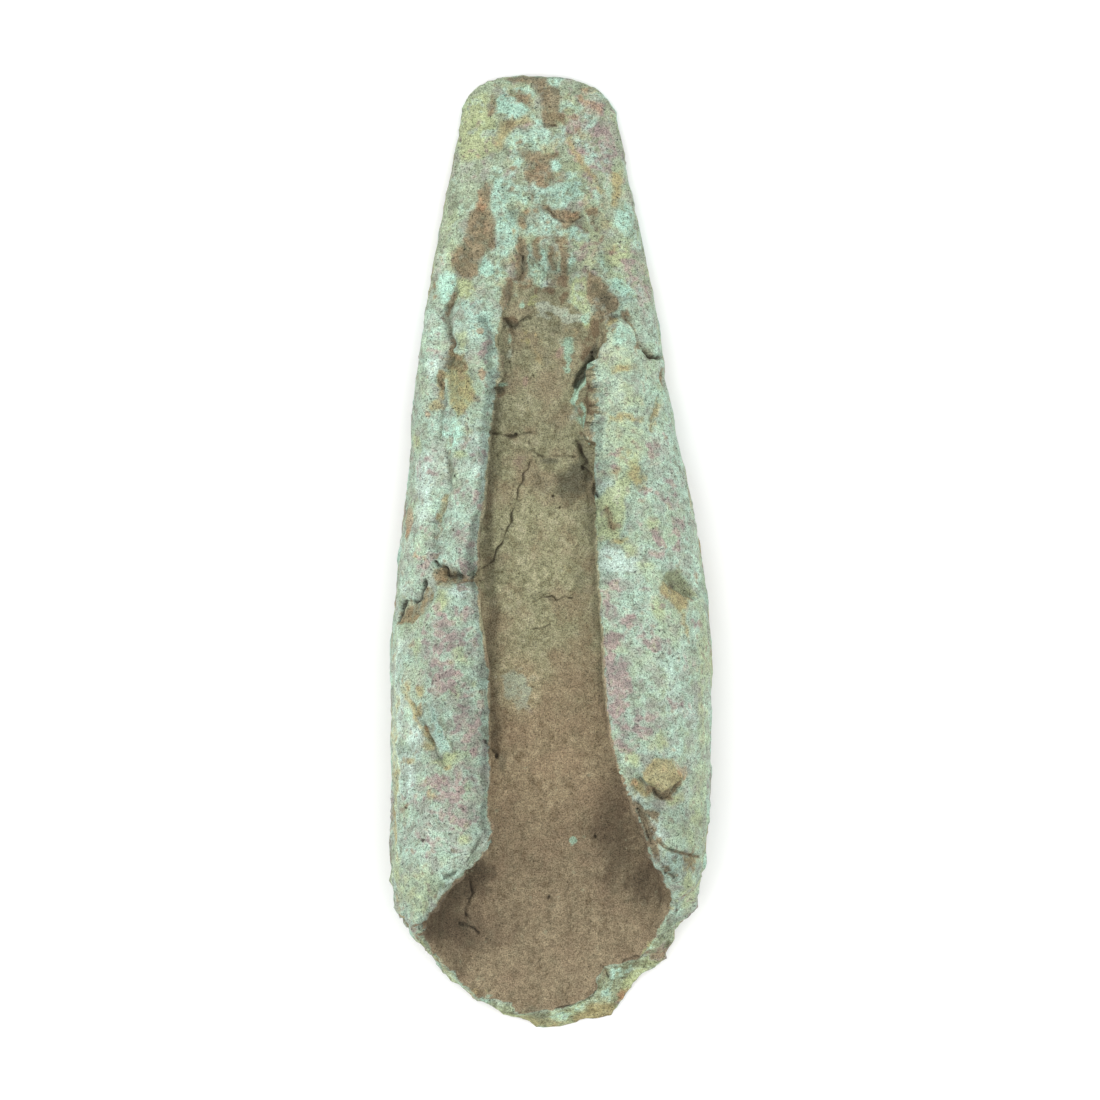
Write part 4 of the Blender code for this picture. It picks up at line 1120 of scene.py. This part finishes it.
class Finish:
    """A material's nodes, added one after another."""

    def __init__(self, name):
        self.material = bpy.data.materials.new(name)
        self.material.use_nodes = True
        self.nodes = self.material.node_tree.nodes
        self.links = self.material.node_tree.links
        self.shader = self.nodes["Principled BSDF"]
        self.places = self.nodes.new("ShaderNodeTexCoord").outputs["Object"]

    def feed(self, socket, value):
        """Links a node's output into a socket, or sets the socket to a number or a tone."""
        if isinstance(value, bpy.types.NodeSocket):
            self.links.new(value, socket)
        elif isinstance(value, tuple):
            socket.default_value = (*as_light(value), 1.0)
        else:
            socket.default_value = value

    def mark(self, name):
        """One of the marks that the sculpting left on the mesh's points."""
        node = self.nodes.new("ShaderNodeAttribute")
        node.attribute_name = name
        return node.outputs["Fac"]

    def noise(self, size, detail=2.0, roughness=0.5, stretch=1.0):
        """Noise with lumps of about that many millimetres, which may be longer along y."""
        node = self.nodes.new("ShaderNodeTexNoise")
        places = self.places
        if stretch != 1.0:
            mapping = self.nodes.new("ShaderNodeMapping")
            mapping.inputs["Scale"].default_value = (1.0, 1 / stretch, 1.0)
            self.feed(mapping.inputs["Vector"], places)
            places = mapping.outputs["Vector"]
        self.feed(node.inputs["Vector"], places)
        node.inputs["Scale"].default_value = 1 / (size * MM)
        node.inputs["Detail"].default_value = detail
        node.inputs["Roughness"].default_value = roughness
        return node.outputs["Fac"]

    def maths(self, operation, *values):
        """The result of a sum on numbers and nodes."""
        node = self.nodes.new("ShaderNodeMath")
        node.operation = operation
        for socket, value in zip(node.inputs, values):
            self.feed(socket, value)
        return node.outputs[0]

    def share(self, value, most):
        """A value as a share of the most that it may be."""
        return self.maths("MULTIPLY", value, most)

    def more(self, value, times, base):
        """A value a number of times over, on top of another."""
        return self.maths("MULTIPLY_ADD", value, times, base)

    def blend_sum(self, *weighted):
        """The sum of several noises, each times its weight."""
        (first, weight), *others = weighted
        total = self.share(first, weight)
        for value, weight in others:
            total = self.more(value, weight, total)
        return total

    def brighten(self, surface, times):
        """The surface's tones a number of times as bright."""
        node = self.nodes.new("ShaderNodeVectorMath")
        node.operation = "SCALE"
        self.feed(node.inputs[0], surface)
        self.feed(node.inputs["Scale"], times)
        return node.outputs[0]

    def step(self, value, low, high):
        """0 up to low and 1 from high on."""
        node = self.nodes.new("ShaderNodeMapRange")
        node.interpolation_type = "SMOOTHSTEP"
        self.feed(node.inputs["Value"], value)
        node.inputs["From Min"].default_value = low
        node.inputs["From Max"].default_value = high
        return node.outputs["Result"]

    def mix(self, share, under, over):
        """The tone over another, as far as the share says."""
        node = self.nodes.new("ShaderNodeMix")
        node.data_type = "RGBA"
        self.feed(node.inputs[0], share)
        self.feed(node.inputs[6], under)
        self.feed(node.inputs[7], over)
        return node.outputs[2]

    def ramp(self, share, tones):
        """Tones from dark to light, spread evenly over the shares where noise falls."""
        node = self.nodes.new("ShaderNodeValToRGB")
        self.feed(node.inputs["Fac"], share)
        elements = node.color_ramp.elements
        while len(elements) < len(tones):
            elements.new(0.5)
        for i, tone in enumerate(tones):
            elements[i].position = 0.5 - NOISE_SPREAD + 2 * NOISE_SPREAD * i / (len(tones) - 1)
            elements[i].color = (*as_light(tone), 1.0)
        return node.outputs["Color"]

    def bump(self, height, distance):
        """A direction for the shader, from a height of that many millimetres."""
        node = self.nodes.new("ShaderNodeBump")
        node.inputs["Distance"].default_value = distance * MM
        self.feed(node.inputs["Height"], height)
        return node.outputs["Normal"]


def patina():
    """The chisel's finish: green crusts, stains, and earth in the socket."""
    finish = Finish("patinated_bronze")
    mark, step = finish.mark, finish.step
    speckle = finish.noise(0.18, detail=0.8)
    specks = finish.noise(0.38, detail=0.5)
    grit = finish.noise(0.50, detail=1.0)
    mottle = finish.noise(0.9, detail=2.0, roughness=0.6)
    patches = finish.noise(2.2, detail=2.0, roughness=0.6)
    clouds = finish.noise(6.5, detail=3.0, roughness=0.6)
    blots = finish.noise(1.3, detail=1.0)
    crusts = finish.blend_sum((mottle, 0.5), (patches, 0.5))
    tints = finish.blend_sum((mottle, 0.25), (blots, 0.4), (patches, 0.35))
    edges = finish.blend_sum((patches, 0.3), (blots, 0.45), (mottle, 0.25))

    # The green of the wings and of the blade, mottled with paler and greyer tones
    wings, blade = finish.ramp(tints, WING_TONES), finish.ramp(tints, BLADE_TONES)
    surface = finish.mix(mark("blade"), wings, blade)

    def tint(share, most, tone):
        """Covers the surface with a tone, by at most that share."""
        nonlocal surface
        surface = finish.mix(finish.share(share, most), surface, tone)

    tint(step(clouds, 0.46, 0.66), 0.3, YELLOW_GREEN)
    tint(step(finish.noise(3.4), 0.50, 0.68), 0.45, MAUVE)
    tint(step(finish.noise(4.4), 0.48, 0.66), 0.45, OLIVE_GREEN)
    greys = finish.more(mark("low"), 0.04, finish.noise(1.8, detail=1.5))
    tint(step(greys, 0.48, 0.70), 0.6, GREY_GREEN)
    surface = finish.mix(mark("rim"), surface, finish.ramp(crusts, RIM_TONES))

    def lay(*names):
        """Lays stains of two tones one after another, with edges that noise breaks up."""
        for name in names:
            reach, soft, start, dark, light, most = COATS[name]
            cover = finish.more(edges, reach, mark(name))
            middle = start + 0.5 * reach
            tint(
                step(cover, middle - soft, middle + soft), most,
                finish.mix(step(crusts, 0.36, 0.64), dark, light),
            )

    lay("pale", "leaf")
    rosy = finish.more(mark("pink"), 0.32, blots)
    tint(step(rosy, 0.57, 0.86), 0.88, finish.mix(step(patches, 0.36, 0.64), *PINK_TONES))
    lay("turquoise", "ochre", "brown", "orange")

    # The earth, lighter towards the middle of the socket, partly as drier earth and partly as
    # painted light, with stains of its own
    streaks = finish.noise(1.6, stretch=3.0)
    tone = finish.blend_sum((mottle, 0.5), (streaks, 0.2), (patches, 0.3))
    upper, lower = finish.ramp(tone, UPPER_EARTH_TONES), finish.ramp(tone, LOWER_EARTH_TONES)
    earth = finish.mix(mark("low"), upper, lower)
    earth = finish.mix(finish.share(step(clouds, 0.46, 0.64), 0.5), earth, RED_EARTH)
    earth = finish.brighten(earth, finish.more(mark("dry_and_lit"), 0.42, 0.83))
    earth_share = step(finish.more(edges, 1.6, mark("earth")), 1.1, 1.5)
    surface = finish.mix(earth_share, surface, earth)
    # Painted shade on the earth under the wings and at the mouth's corners
    tint(mark("under_wing_shade"), 0.70, UNDER_WING_SHADE_TONE)
    for name, stained_earth in EARTH_STAINS:
        cover = step(finish.more(edges, 3.0, mark(name)), 1.85, 2.45)
        tint(finish.share(cover, earth_share), 0.85, stained_earth)

    # What is dark on all of it, and then the specks and the placed light and shade
    lay("dark")
    # Painted shade in the relief's low spots
    tint(mark("hollow"), 0.22, RECESS_SHADE_TONE)
    tint(mark("crack"), 0.85, CRACK_TONE)
    light = finish.maths("ADD", finish.blend_sum((speckle, 2.1), (grit, 0.4)), -0.20)
    speck_depth = finish.more(earth_share, 0.24, -0.42)
    light = finish.more(step(specks, 0.56, 0.74), speck_depth, light)
    surface = finish.brighten(surface, light)
    light = finish.more(mark("lit"), 0.24, 0.985)
    surface = finish.brighten(surface, finish.more(mark("shaded"), -0.34, light))
    finish.feed(finish.shader.inputs["Base Color"], surface)
    finish.shader.inputs["Roughness"].default_value = 0.88
    finish.shader.inputs["Metallic"].default_value = 0.0
    finish.shader.inputs["Specular IOR Level"].default_value = 0.25
    height = finish.blend_sum((speckle, 0.5), (grit, 0.6), (mottle, 0.4))
    finish.feed(finish.shader.inputs["Normal"], finish.bump(height, 0.3))
    return finish.material


def make_floor():
    """The plain pale floor under the chisel."""
    mesh = bmesh.new()
    bmesh.ops.create_grid(mesh, x_segments=8, y_segments=8, size=FLOOR_SIZE / 2)
    data = bpy.data.meshes.new("floor")
    mesh.to_mesh(data)
    mesh.free()
    finish = Finish("pale_floor")
    finish.shader.inputs["Base Color"].default_value = (0.96, 0.96, 0.96, 1.0)
    finish.shader.inputs["Roughness"].default_value = 0.9
    finish.shader.inputs["Specular IOR Level"].default_value = 0.1
    data.materials.append(finish.material)
    floor = bpy.data.objects.new("floor", data)
    bpy.context.scene.collection.objects.link(floor)


def direction(azimuth, elevation):
    """The way from the chisel towards an azimuth and an elevation."""
    azimuth, elevation = math.radians(azimuth), math.radians(elevation)
    flat = math.cos(elevation)
    return Vector((math.sin(azimuth) * flat, -math.cos(azimuth) * flat, math.sin(elevation)))


def make_lights():
    """Pale surroundings and three large softboxes."""
    scene = bpy.context.scene
    world = bpy.data.worlds.new("studio")
    world.use_nodes = True
    world.node_tree.nodes["Background"].inputs["Color"].default_value = (1.0, 1.0, 1.0, 1.0)
    world.node_tree.nodes["Background"].inputs["Strength"].default_value = ROOM_LIGHT
    scene.world = world
    for i, (towards, distance, size, power) in enumerate(SOFTBOXES):
        light = bpy.data.lights.new(f"softbox_{i}", "AREA")
        light.size = size
        light.energy = power
        softbox = bpy.data.objects.new(f"softbox_{i}", light)
        softbox.location = direction(*towards) * distance
        softbox.rotation_euler = (-direction(*towards)).to_track_quat("-Z", "Y").to_euler()
        scene.collection.objects.link(softbox)


def make_camera():
    """A long lens that looks straight down on the chisel."""
    lens = bpy.data.cameras.new("camera")
    lens.lens = LENS
    away = VIEW_WIDTH * LENS / lens.sensor_width
    camera = bpy.data.objects.new("camera", lens)
    camera.location = (*VIEW_MIDDLE, FOCUS_HEIGHT + away)
    bpy.context.scene.collection.objects.link(camera)
    bpy.context.scene.camera = camera


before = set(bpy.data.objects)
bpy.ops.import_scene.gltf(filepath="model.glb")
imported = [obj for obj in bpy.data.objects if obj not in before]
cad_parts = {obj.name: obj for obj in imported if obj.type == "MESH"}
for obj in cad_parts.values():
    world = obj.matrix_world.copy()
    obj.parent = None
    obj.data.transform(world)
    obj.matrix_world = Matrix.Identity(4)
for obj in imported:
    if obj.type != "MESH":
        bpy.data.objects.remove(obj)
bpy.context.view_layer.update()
bpy.context.scene.view_settings.view_transform = "Standard"
make_chisel(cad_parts["chisel"])
make_floor()
make_lights()
make_camera()
